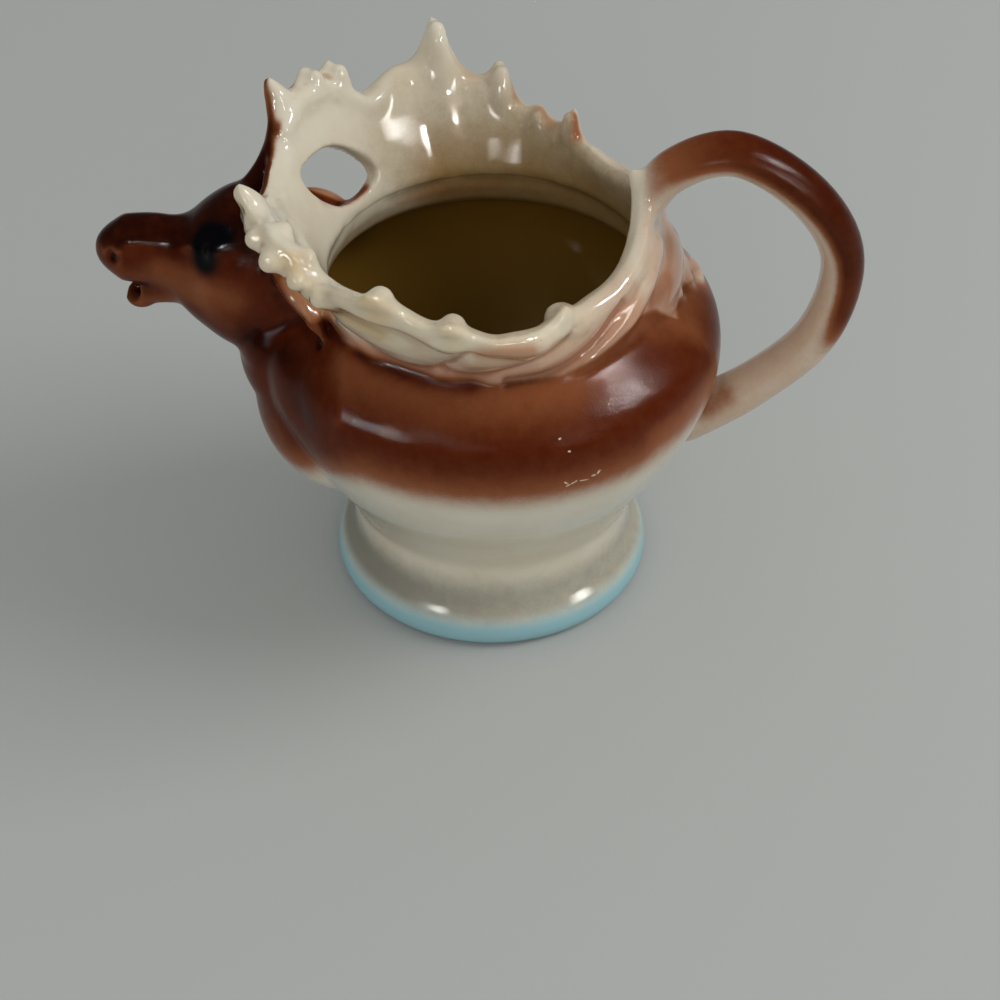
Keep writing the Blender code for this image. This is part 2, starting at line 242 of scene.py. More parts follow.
def tube(
    path: Sequence[Vector],
    radii: Sequence[tuple[float, float]],
    side: Vector = Vector((0.0, 1.0, 0.0)),
    count: int = 28,
) -> bmesh.types.BMesh:
    """Oval roll along a path, rounded at both ends.

    Args:
        path: middle of the roll.
        radii: (thick, wide) half sizes at each point of the path.
        side: direction that the wide half size lies nearest to.
        count: points round the roll.

    Returns:
        The lump.
    """
    rings = []
    for i, (point, (thick, wide)) in enumerate(zip(path, radii)):
        ahead = (path[min(len(path) - 1, i + 1)] - path[max(0, i - 1)]).normalized()
        across = (side - ahead * ahead.dot(side)).normalized()
        out = ahead.cross(across)
        stops = [(0.0, 1.0)]
        if i == 0:
            stops = [(-math.sin(a), math.cos(a)) for a in CAP[::-1]]
        if i == len(path) - 1:
            stops = [(math.sin(a), math.cos(a)) for a in CAP]
        for shift, size in stops:
            middle = point + ahead * (shift * min(thick, wide))
            rings.append(
                [
                    middle
                    + across * (wide * size * math.cos(2.0 * math.pi * k / count))
                    + out * (thick * size * math.sin(2.0 * math.pi * k / count))
                    for k in range(count)
                ]
            )
    return loft(rings)


def tapered(
    run: Sequence[Vector], root: float, loss: float, flat: float = 1.0, wide: float = 1.0
) -> list[tuple[float, float]]:
    """Half sizes of a roll that thins toward its tip.

    Args:
        run: middle of the roll.
        root: half size at its root.
        loss: how much of it is lost at the tip.
        flat: share of the half size that is its thickness.
        wide: share of the half size that is its width.

    Returns:
        (thick, wide) at each point of the run.
    """
    sizes = [root - loss * i / (len(run) - 1) for i in range(len(run))]
    return [(size * flat, size * wide) for size in sizes]


def ball(
    centre: Sequence[float],
    size: Sequence[float],
    turn: float = 0.0,
    about: str = "Y",
) -> bmesh.types.BMesh:
    """Ellipsoid lump.

    Args:
        centre: its middle.
        size: its three half sizes.
        turn: degrees it is turned.
        about: axis of the turn.

    Returns:
        The lump.
    """
    bm = bmesh.new()
    bmesh.ops.create_icosphere(bm, subdivisions=5, radius=1.0)
    place = (
        Matrix.Translation(centre)
        @ Matrix.Rotation(math.radians(turn), 4, about)
        @ Matrix.Diagonal((*size, 1.0))
    )
    bmesh.ops.transform(bm, matrix=place, verts=bm.verts)
    return bm


def block(low: Sequence[float], high: Sequence[float]) -> bmesh.types.BMesh:
    """Plain block between two corners.

    Args:
        low: lower corner.
        high: upper corner.

    Returns:
        The lump.
    """
    bm = bmesh.new()
    size = Vector(high) - Vector(low)
    place = Matrix.Translation((Vector(low) + Vector(high)) / 2) @ Matrix.Diagonal((*size, 1.0))
    bmesh.ops.create_cube(bm, size=1.0, matrix=place)
    return bm


@dataclass
class Workshop:
    """Bench where lumps are kept while the jug is made.  Lumps are in millimetres.

    Attributes:
        axis: X of the jug's own axis in the frame, in metres.
        bench: collection of the lumps.
    """

    axis: float
    bench: bpy.types.Collection

    def lump(self, name: str, bm: bmesh.types.BMesh) -> bpy.types.Object:
        """Puts a lump on the bench.

        Args:
            name: its name.
            bm: its shape, which is freed.

        Returns:
            The object.
        """
        mesh = bpy.data.meshes.new(name)
        bm.to_mesh(mesh)
        bm.free()
        item = bpy.data.objects.new(name, mesh)
        self.bench.objects.link(item)
        return item

    def cut(
        self, item: bpy.types.Object, cutter: bpy.types.Object, operation: str = "DIFFERENCE"
    ) -> None:
        """Cuts a lump by another, for good.

        Args:
            item: lump that is changed.
            cutter: lump that it is cut by.
            operation: kind of Boolean.
        """
        step = item.modifiers.new("Cut", "BOOLEAN")
        step.operation = operation
        step.solver = "MANIFOLD"
        step.object = cutter
        self.settle(item)

    def settle(self, item: bpy.types.Object) -> None:
        """Bakes a lump's modifiers into its mesh.

        Args:
            item: the lump.
        """
        bpy.context.view_layer.update()
        graph = bpy.context.evaluated_depsgraph_get()
        made = bpy.data.meshes.new_from_object(
            item.evaluated_get(graph), preserve_all_data_layers=True, depsgraph=graph
        )
        old = item.data
        item.modifiers.clear()
        item.data = made
        bpy.data.meshes.remove(old)

    def joined(self, name: str, items: Sequence[bpy.types.Object]) -> bpy.types.Object:
        """One lump that holds copies of several.

        Args:
            name: its name.
            items: the lumps.

        Returns:
            The new lump.
        """
        bm = bmesh.new()
        for item in items:
            bm.from_mesh(item.data)
        return self.lump(name, bm)

    def clear(self) -> None:
        """Takes everything off the bench."""
        for item in list(self.bench.objects):
            mesh = item.data
            bpy.data.objects.remove(item)
            bpy.data.meshes.remove(mesh)
        bpy.data.collections.remove(self.bench)


@dataclass(frozen=True)
class Pot:
    """Turned shape of foot and bowl, as (radius, height) in millimetres.

    Attributes:
        waist: radius where foot and bowl meet.
        waist_z: height of the waist.
        belly: widest radius.
        rim: radius of the rim.
        rim_z: height of the rim.
        wall: thickness of the wall.
        swell: outer side between rim and waist, in shares of the belly and of the height.
        heel: how far the side stands out just above the waist, and how far above.
    """

    waist: float = 26.7
    waist_z: float = 15.5
    belly: float = 42.4
    rim: float = 32.1
    rim_z: float = 65.3
    wall: float = 3.2
    swell: tuple[tuple[float, float], ...] = (
        (0.955, 0.865),
        (1.0, 0.735),
        (0.97, 0.58),
        (0.856, 0.375),
        (0.724, 0.19),
    )
    heel: tuple[float, float] = (0.5, 2.6)

    def outside(self) -> list[tuple[float, float]]:
        """Outer side of the bowl, rim to waist.

        Returns:
            The run.
        """
        tall = self.rim_z - self.waist_z
        marks = [(self.rim, self.rim_z)]
        for width, height in self.swell:
            marks.append((self.belly * width, self.waist_z + tall * height))
        marks.append((self.waist + self.heel[0], self.waist_z + self.heel[1]))
        marks.append((self.waist, self.waist_z))
        return [(p.x, p.y) for p in spline([(*m, 0.0) for m in marks], 8)]

    def shrunk(self, amount: float) -> list[tuple[float, float]]:
        """Outer side of the bowl moved in toward the axis.

        Args:
            amount: distance moved.

        Returns:
            The run, rim to waist.
        """
        run = self.outside()
        out = []
        for i, (radius, height) in enumerate(run):
            before, after = run[max(0, i - 1)], run[min(len(run) - 1, i + 1)]
            along = Vector((after[0] - before[0], after[1] - before[1])).normalized()
            out.append((radius + along.y * amount, height - along.x * amount))
        return out


POT = Pot()


@dataclass(frozen=True)
class Tine:
    """One point of an antler.

    Attributes:
        angle: degrees from the handle.
        top: height of its tip above the rim.
        length: length of its roll.
        base: radius of the roll at its foot.
        tip: radius of the roll at its tip.
        draw: how far the tip is drawn in toward the axis.
    """

    angle: float
    top: float
    length: float
    base: float
    tip: float
    draw: float = 1.5


@dataclass(frozen=True)
class Collar:
    """Palmate antlers that stand round the rim as a flared collar.

    Attributes:
        palm: thickness.
        inset: distance of the middle of its thickness inside the rim's radius.
        seat: gap between the rim and its foot.
        tines: points of one antler, front to rear.
        saddles: (degrees from the handle, height above the rim) of the edge beside the tines.
    """

    palm: float = 3.7
    inset: float = 1.9
    seat: float = 0.3
    tines: tuple[Tine, ...] = (
        Tine(157.6, 28.6, 11.0, 2.5, 1.2, -0.6),
        Tine(145.4, 26.6, 5.0, 2.4, 1.6),
        Tine(137.5, 25.5, 6.0, 2.4, 1.6),
        Tine(108.6, 28.2, 12.0, 3.5, 1.7),
        Tine(91.8, 19.9, 8.0, 2.9, 1.65),
        Tine(80.0, 13.4, 4.0, 2.0, 1.4),
        Tine(67.4, 16.1, 6.5, 2.5, 1.45),
    )
    saddles: tuple[tuple[float, float], ...] = (
        (0.0, 24.0),
        (13.5, 18.2),
        (27.0, 13.9),
        (40.0, 11.8),
        (57.7, 11.4),
        (75.0, 11.4),
        (86.0, 13.0),
        (100.5, 17.8),
        (118.5, 20.8),
        (131.4, 18.2),
        (141.5, 23.4),
        (152.5, 24.4),
        (161.5, 22.6),
        (169.0, 18.6),
        (180.0, 17.2),
    )

    def palm_rise(self, angle: Numbers) -> Numbers:
        """Height of the edge above the rim between the tines.

        Args:
            angle: degrees from the handle.

        Returns:
            The height.
        """
        marks, heights = self.edge_table()
        return np.interp(angle, marks, heights)

    @lru_cache(maxsize=2)
    def edge_table(self) -> tuple[np.ndarray, np.ndarray]:
        """Edge between the tines, as angles and heights.

        Returns:
            The angles and the heights.
        """
        run = spline([(*mark, 0.0) for mark in self.saddles], 6)
        return np.array([p.x for p in run]), np.array([p.y for p in run])

    def rise(self, angle: Numbers) -> Numbers:
        """Height of the edge above the rim, with the tines.

        Args:
            angle: degrees from the handle.

        Returns:
            The height.
        """
        total = self.palm_rise(angle)
        for tine in self.tines:
            above = tine.top - self.palm_rise(tine.angle)
            total = total + above * bell(tine.angle, 1.2 * tine.base, angle)
        return total

    def lean(self, angle: Numbers) -> Numbers:
        """Outward slope.

        Args:
            angle: degrees from the handle.

        Returns:
            Outward distance for each unit of height.
        """
        return -0.18 + 0.75 * smoothstep(45.0, 86.0, angle)

    def point(self, hand: Hand, angle: float, rise: float, outward: float = 0.0) -> Vector:
        """Place on the antler.

        Args:
            hand: which antler.
            angle: degrees from the handle.
            rise: height above the rim.
            outward: distance from the middle of its thickness.

        Returns:
            The place.
        """
        share = rise / float(self.rise(angle))
        radius = POT.rim - self.inset + float(self.lean(angle)) * rise * (0.6 + 0.4 * share) + outward
        radius -= 1.3 * float(smoothstep(19.0, 27.0, rise))
        turn = math.radians(angle)
        across = hand.value * radius * math.sin(turn)
        return Vector((radius * math.cos(turn), across, POT.rim_z + self.seat + rise))


COLLAR = Collar()
NEAR_COLLAR = replace(
    COLLAR,
    tines=(
        Tine(157.6, 28.6, 11.0, 2.6, 0.5, 0.2),
        Tine(145.4, 25.2, 5.0, 3.2, 2.2),
        Tine(137.5, 22.8, 5.0, 3.2, 2.2),
        Tine(112.6, 22.6, 8.0, 3.4, 2.3),
        Tine(95.0, 18.2, 6.0, 3.0, 2.3),
        Tine(62.5, 14.2, 5.0, 3.6, 2.8),
    ),
    saddles=tuple(
        (a, float(rise - 1.1 * bell(106.0, 18.0, a) + 2.0 * bell(80.0, 10.0, a)))
        for a, rise in COLLAR.saddles
    ),
)
# Lower edge of an antler, as (degrees from the handle, height above the rim).
HEM = (
    (143.0, 1.0),
    (132.0, -0.2),
    (120.0, -0.6),
    (105.0, -0.8),
    (92.0, -0.6),
    (80.0, 0.0),
    (68.0, 0.0),
    (58.0, 0.9),
    (48.0, 2.5),
    (40.0, 3.8),
)
# Beads of the near beam: degrees from the handle, height above the rim, distance outward and radius.
BEADS = (
    (147.0, 22.4, 3.4, 2.0),
    (141.0, 20.6, 3.8, 2.2),
    (134.5, 18.6, 2.6, 2.0),
    (129.0, 16.2, 2.6, 1.8),
)


def on_antler(hand: Hand, marks: Iterable[tuple[float, float]], outward: float = FACE) -> Path:
    """Path on an antler.

    Args:
        hand: which antler.
        marks: (degrees from the handle, height above the rim) of the path.
        outward: distance from the middle of its thickness.

    Returns:
        The path.
    """
    return tuple(tuple(COLLAR.point(hand, a, r, outward)) for a, r in marks)


def beyond_wall(places: np.ndarray) -> np.ndarray:
    """Distance of places outward from the middle of the wall of bowl or antlers.

    Args:
        places: places in millimetres, one to a row.

    Returns:
        The distances, negative inside the jug.
    """
    x, y, z = places.T
    angle = np.degrees(np.arctan2(np.abs(y), x))
    rise = z - POT.rim_z - COLLAR.seat
    run = POT.outside()[::-1]
    pot = np.interp(z, [p[1] for p in run], [p[0] for p in run]) - POT.wall / 2
    palm = POT.rim - COLLAR.inset + COLLAR.lean(angle) * rise * (0.6 + 0.4 * rise / COLLAR.rise(angle))
    return np.hypot(x, y) - np.where(rise < 0.0, pot, palm)


@dataclass(frozen=True)
class Stroke:
    """Pull of a modelling tool along the surface.

    Attributes:
        path: marks of the pull, in millimetres.
        width: half width of the tool.
        height: how far the surface is raised, or pressed in if negative.
    """

    path: Path
    width: float
    height: float

    def reach(self, places: np.ndarray) -> np.ndarray:
        """Strength of the pull at places on the surface.

        Args:
            places: places, one to a row.

        Returns:
            The strength, 0 to 1.
        """
        marks = np.array([tuple(p) for p in spline(self.path, 5)])
        best = np.linalg.norm(places - marks[0], axis=1)
        for a, b in zip(marks[:-1], marks[1:]):
            along = b - a
            share = np.clip((places - a) @ along / max(1e-9, along @ along), 0.0, 1.0)
            gap = np.linalg.norm(places - a - share[:, None] * along, axis=1)
            best = np.minimum(best, gap)
        return bell(0.0, self.width, best)

    def middle(self) -> np.ndarray:
        """Middle of the box round the pull."""
        marks = np.array(self.path)
        return (marks.min(axis=0) + marks.max(axis=0)) / 2

    def extent(self) -> np.ndarray:
        """Half size of the box round the pull."""
        marks = np.array(self.path)
        return (marks.max(axis=0) - marks.min(axis=0)) / 2


Pull = TypeVar("Pull", bound=Stroke)


def mirrored(pulls: Iterable[Pull]) -> list[Pull]:
    """Pulls on both sides of the animal.

    Args:
        pulls: pulls on the left.

    Returns:
        The pulls and their mirror images.
    """
    out = []
    for pull in pulls:
        out += [pull, replace(pull, path=tuple((x, -y, z) for x, y, z in pull.path))]
    return out


@dataclass
class SubAssembly:
    """One named piece of the jug.

    Attributes:
        name: name of its node in the frame.
        slot: material slot.
    """

    name: str
    slot: Slot

    def build(self, shop: Workshop) -> list[bpy.types.Object]:
        """Lays up the lumps of the piece.

        Args:
            shop: workshop it is made in.

        Returns:
            The lumps.
        """
        raise NotImplementedError

    def region(self, shop: Workshop) -> bpy.types.Object | None:
        """Space that the piece takes out of the casting.

        Args:
            shop: workshop it is made in.

        Returns:
            A closed lump, or nothing if the piece is what is left.
        """
        return None

    def strokes(self) -> list[Stroke]:
        """Tool marks of the piece."""
        return []

    def dress(self, piece: bpy.types.Object, glaze: bpy.types.Material) -> None:
        """Glazes the finished piece and hands it to the frame.

        Args:
            piece: the finished piece.
            glaze: its glaze.
        """
        piece.data.materials.clear()
        piece.data.materials.append(glaze)
        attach(piece, "root")
        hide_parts(self.name)


@dataclass
class PedestalFoot(SubAssembly):
    """Flared foot with a rounded edge and a recess beneath.

    Attributes:
        edge: radius of its edge.
        roll: radius of the roll round the edge.
        overlap: how far it reaches up into the bowl.
        inside: radius of the space in it.
        floor: height of the floor in it.
        slope: size of the slope between that floor and the wall.
        recess: radius of the recess beneath.
        recess_depth: depth of the recess.
    """

    name: str = "pedestal_foot"
    slot: Slot = Slot.BLUE
    edge: float = 30.3
    roll: float = 2.6
    overlap: float = 1.5
    inside: float = 22.4
    floor: float = 5.2
    slope: float = 2.0
    recess: float = 22.7
    recess_depth: float = 1.6

    def build(self, shop: Workshop) -> list[bpy.types.Object]:
        """Turns the foot.

        Args:
            shop: workshop it is made in.

        Returns:
            The lumps.
        """
        flare = spline(
            (
                (POT.waist, POT.waist_z + self.overlap, 0.0),
                (POT.waist * 1.006, POT.waist_z * 0.72, 0.0),
                (POT.waist * 1.036, self.roll * 3.2, 0.0),
                (self.edge - self.roll * 0.3, self.roll * 2.2, 0.0),
                (self.edge, self.roll * 1.1, 0.0),
                (self.edge - self.roll * 0.3, self.roll * 0.3, 0.0),
                (self.edge - self.roll, 0.0, 0.0),
            ),
            8,
        )
        inside = [
            (0.0, self.floor),
            (self.inside - self.slope, self.floor),
            (self.inside, self.floor + self.slope),
            (self.inside, POT.waist_z + self.overlap),
        ]
        under = [(self.recess, 0.0), (self.recess - 1.0, self.recess_depth), (0.0, self.recess_depth)]
        return [shop.lump(self.name, revolve(inside + [(p.x, p.y) for p in flare] + under))]

    def region(self, shop: Workshop) -> bpy.types.Object:
        """Everything below the waist.

        Args:
            shop: workshop it is made in.

        Returns:
            The space.
        """
        return shop.lump("foot_space", block((-50.0, -50.0, -5.0), (50.0, 50.0, POT.waist_z)))


@dataclass
class Bowl(SubAssembly):
    """Round belly with a short neck inside the rim.

    Attributes:
        neck: (radius, height) marks of the neck, from below.
        neck_z: height where the inner side of the wall gives way to the neck.
    """

    name: str = "bowl"
    slot: Slot = Slot.BROWN
    neck: tuple[tuple[float, float], ...] = (
        (34.4, 58.6),
        (31.6, 60.4),
        (30.3, 62.0),
        (30.0, 64.4),
        (30.0, 67.2),
        (30.9, 67.8),
        (31.7, 66.4),
    )
    neck_z: float = 57.0

    def build(self, shop: Workshop) -> list[bpy.types.Object]:
        """Turns the bowl.

        Args:
            shop: workshop it is made in.

        Returns:
            The lumps.
        """
        outside = POT.outside()
        inside = [p for p in POT.shrunk(POT.wall)[::-1] if p[1] < self.neck_z]
        inside[0] = (POT.waist - POT.wall, POT.waist_z)
        return [shop.lump(self.name, revolve(inside + list(self.neck) + outside))]

    def core(
        self, shop: Workshop, reach: float = 0.0, low: float = 0.0, high: float = 0.0
    ) -> bpy.types.Object:
        """Inside of the jug, out to the middle of the wall, that trims what is stuck on outside.

        Args:
            shop: workshop it is made in.
            reach: distance it is moved outward below the rim.
            low: distance it is moved outward just above the rim.
            high: distance it is moved outward at the edge of the antlers.

        Returns:
            The trimming lump.
        """
        turns = [(float(a), Hand.RIGHT) for a in range(0, 181, 2)]
        turns += [(float(a), Hand.LEFT) for a in range(178, 0, -2)]
        rings = []
        for radius, height in POT.shrunk(POT.wall / 2 - reach)[::-1][4:]:
            ring = []
            for angle, hand in turns:
                turn = math.radians(angle)
                ring.append(Vector((radius * math.cos(turn), hand.value * radius * math.sin(turn), height)))
            rings.append(ring)
        for share in (0.05, 0.2, 0.4, 0.6, 0.8, 0.95):
            out = low + (high - low) * share
            rings.append([COLLAR.point(hand, a, float(COLLAR.rise(a)) * share, out) for a, hand in turns])
        middle = Vector((0.0, 0.0, POT.rim_z + 30.0))
        rings.append([p.lerp(middle, 0.5) for p in rings[-1]])
        return shop.lump("core", loft(rings))


@dataclass
class Antler(SubAssembly):
    """One palmate antler: a flared palm with a rolled edge, tines and a window.

    Attributes:
        hand: which antler it is.
        collar: its edge and tines.
        window_at: middle of the window, as degrees from the handle and height above the rim.
        window_size: half length and half height of the window.
        window_tilt: degrees that the window is tilted.
        beam: path of the beam at the brow, the same on both antlers but for its start.
    """

    name: str = "left_antler"
    slot: Slot = Slot.CREAM
    hand: Hand = Hand.LEFT
    collar: Collar = COLLAR
    window_at: tuple[float, float] = (153.6, 9.2)
    window_size: tuple[float, float] = (9.8, 5.5)
    window_tilt: float = -26.0
    beam: Path = ((-40.0, 11.8, 83.6), (-39.8, 14.0, 87.0), (-40.6, 16.0, 90.0), (-41.3, 17.0, 92.0))

    @property
    def near(self) -> bool:
        """Whether it is the antler on the side of the camera."""
        return self.hand is Hand.LEFT

    def build(self, shop: Workshop) -> list[bpy.types.Object]:
        """Lays up palm, rolled edge and tines, and pierces the window.

        Args:
            shop: workshop it is made in.

        Returns:
            The lumps.
        """
        palm = shop.lump(self.name, loft([self.section(float(a)) for a in range(0, 181)]))
        shop.cut(palm, self.window(shop))
        lumps = [palm, shop.lump("edge_roll", self.edge_roll()), shop.lump("burr", self.burr())]
        for angle, rise, out, bead in BEADS if self.near else ():
            lumps.append(shop.lump("bead", ball(COLLAR.point(self.hand, angle, rise, out), (bead,) * 3)))
        return lumps + [shop.lump("tine", self.tine_roll(tine)) for tine in self.collar.tines]

    def edge_roll(self) -> bmesh.types.BMesh:
        """Roll along the edge of the palm.  On the near antler it swells to a beam toward the brow.

        Returns:
            The lump.
        """
        path, sizes = [], []
        for angle in range(4, 164, 2):
            swell = float(smoothstep(122.0, 138.0, angle)) if self.near else 0.0
            size = 2.05 + 0.18 * math.sin(angle * 0.35) + 0.85 * swell
            out = 0.6 - 1.2 * float(smoothstep(118.0, 134.0, angle)) + 1.7 * swell
            path.append(COLLAR.point(self.hand, angle, float(self.collar.palm_rise(angle)) - size, out))
            sizes.append((size, size * 1.05))
        return tube(path, sizes, UP)

    def burr(self) -> bmesh.types.BMesh:
        """Root of the beam at the brow.

        Returns:
            The lump.
        """
        start: Path = ((-43.2, 7.0, 77.4), (-41.4, 9.4, 80.0))
        if self.near:
            start = ((-39.0, 4.0, 80.0), (-39.2, 8.0, 82.2))
        run = spline([(x, y * self.hand.value, z) for x, y, z in start + self.beam], 4)
        return tube(run, tapered(run, 2.9, 1.5), UP)

    def tine_roll(self, tine: Tine, steps: int = 8) -> bmesh.types.BMesh:
        """Roll of one tine, foot to tip.

        Args:
            tine: the tine.
            steps: steps along the roll.

        Returns:
            The lump.
        """
        top = tine.top - tine.tip
        turn = math.radians(tine.angle)
        along = Vector((-math.sin(turn), self.hand.value * math.cos(turn), 0.0))
        path, sizes = [], []
        for i in range(steps + 1):
            share = i / steps
            body = 0.4 + 0.6 * float(smoothstep(0.0, 0.5, share))
            wide = (tine.base + (tine.tip - tine.base) * share) * body
            rise = top - tine.length * (1.0 - share)
            path.append(COLLAR.point(self.hand, tine.angle, rise, -tine.draw * share))
            sizes.append((min(wide, 1.4 + 0.6 * share), wide))
        return tube(path, sizes, along)

    def section(self, angle: float) -> list[Vector]:
        """Section across the palm.

        Args:
            angle: degrees from the handle.

        Returns:
            Points round the section.
        """
        shares = (0.0, 0.1, 0.15, 0.2, 0.3, 0.45, 0.6, 0.72, 0.82, 0.9, 0.96, 0.99)
        top = float(self.collar.rise(angle))
        half = self.collar.palm / 2
        out, back = [], []
        for share in shares:
            rise = -1.2 + (top + 1.2) * share
            room = (top - rise) / half
            round_off = math.sqrt(max(0.02, 1.0 - max(0.0, 1.0 - room) ** 2))
            thick = half * (1.14 - 0.2 * math.sin(math.pi * min(1.0, share * 1.1))) * round_off
            edge = float(self.collar.palm_rise(angle))
            thick *= 1.0 - 0.55 * float(smoothstep(edge - 1.0, edge + 7.0, rise))
            out.append(COLLAR.point(self.hand, angle, rise, thick))
            ledge = float(smoothstep(0.9, 2.1, rise))
            back.append(COLLAR.point(self.hand, angle, rise, -0.3 - (thick - 0.3) * ledge))
        return out + [COLLAR.point(self.hand, angle, top)] + back[::-1]

    def window(self, shop: Workshop) -> bpy.types.Object:
        """Rounded lozenge that pierces the palm square to its slope.

        Args:
            shop: workshop it is made in.

        Returns:
            The cutting lump.
        """
        slope, depth, count, lozenge = 0.57, 9.0, 40, 1.25
        long, tall = self.window_size
        centre = COLLAR.point(self.hand, *self.window_at)
        turn = math.radians(self.window_at[0])
        radial = Vector((math.cos(turn), self.hand.value * math.sin(turn), 0.0))
        along = Vector((-math.sin(turn), self.hand.value * math.cos(turn), 0.0))
        up = (radial * slope + UP).normalized()
        through = along.cross(up).normalized()
        tilt = math.radians(self.window_tilt)
        wide = along * math.cos(tilt) - up * math.sin(tilt)
        high = along * math.sin(tilt) + up * math.cos(tilt)
        rings = []
        for shift in (-depth, depth):
            ring = []
            for k in range(count):
                a = 2.0 * math.pi * k / count
                x = math.copysign(abs(math.cos(a)) ** lozenge, math.cos(a)) * long
                y = math.copysign(abs(math.sin(a)) ** lozenge, math.sin(a)) * tall
                ring.append(centre + wide * x + high * y + through * shift)
            rings.append(ring)
        return shop.lump("window_cutter", loft(rings))

    def strokes(self) -> list[Stroke]:
        """Pads and folds of the outer face.

        Returns:
            The tool marks.
        """
        first = ((133, 6.0), (124, 2.3), (114, 1.0), (104, 1.8), (96, 5.8), (91, 11.0))
        second = ((99, 1.8), (89, 1.4), (77, 4.0), (66, 6.6), (59.5, 9.6))
        third = ((80, 0.2), (68, 0.9), (60, 2.0), (49, 4.6), (38, 8.8))
        return [
            Stroke(on_antler(self.hand, marks), width, height)
            for marks, width, height in (
                (((127, 9.0), (117, 7.5), (106, 7.5), (98, 10.0)), 4.2, 1.0),
                (((91, 6.5), (81, 7.0), (71, 9.0)), 2.8, 0.7),
                (((70, 3.6), (59, 5.4), (48, 8.0)), 2.4, 0.6),
                (first, 1.4, -1.0),
                (second, 1.3, -0.9),
                (third, 1.2, -0.8),
            )
        ]

    def region(self, shop: Workshop) -> bpy.types.Object:
        """Everything above the rim on its side.

        Args:
            shop: workshop it is made in.

        Returns:
            The space.
        """
        low, high = sorted((0.0, self.hand.value * 80.0))
        return shop.lump("antler_space", block((-90.0, low, POT.rim_z - 0.2), (90.0, high, 110.0)))


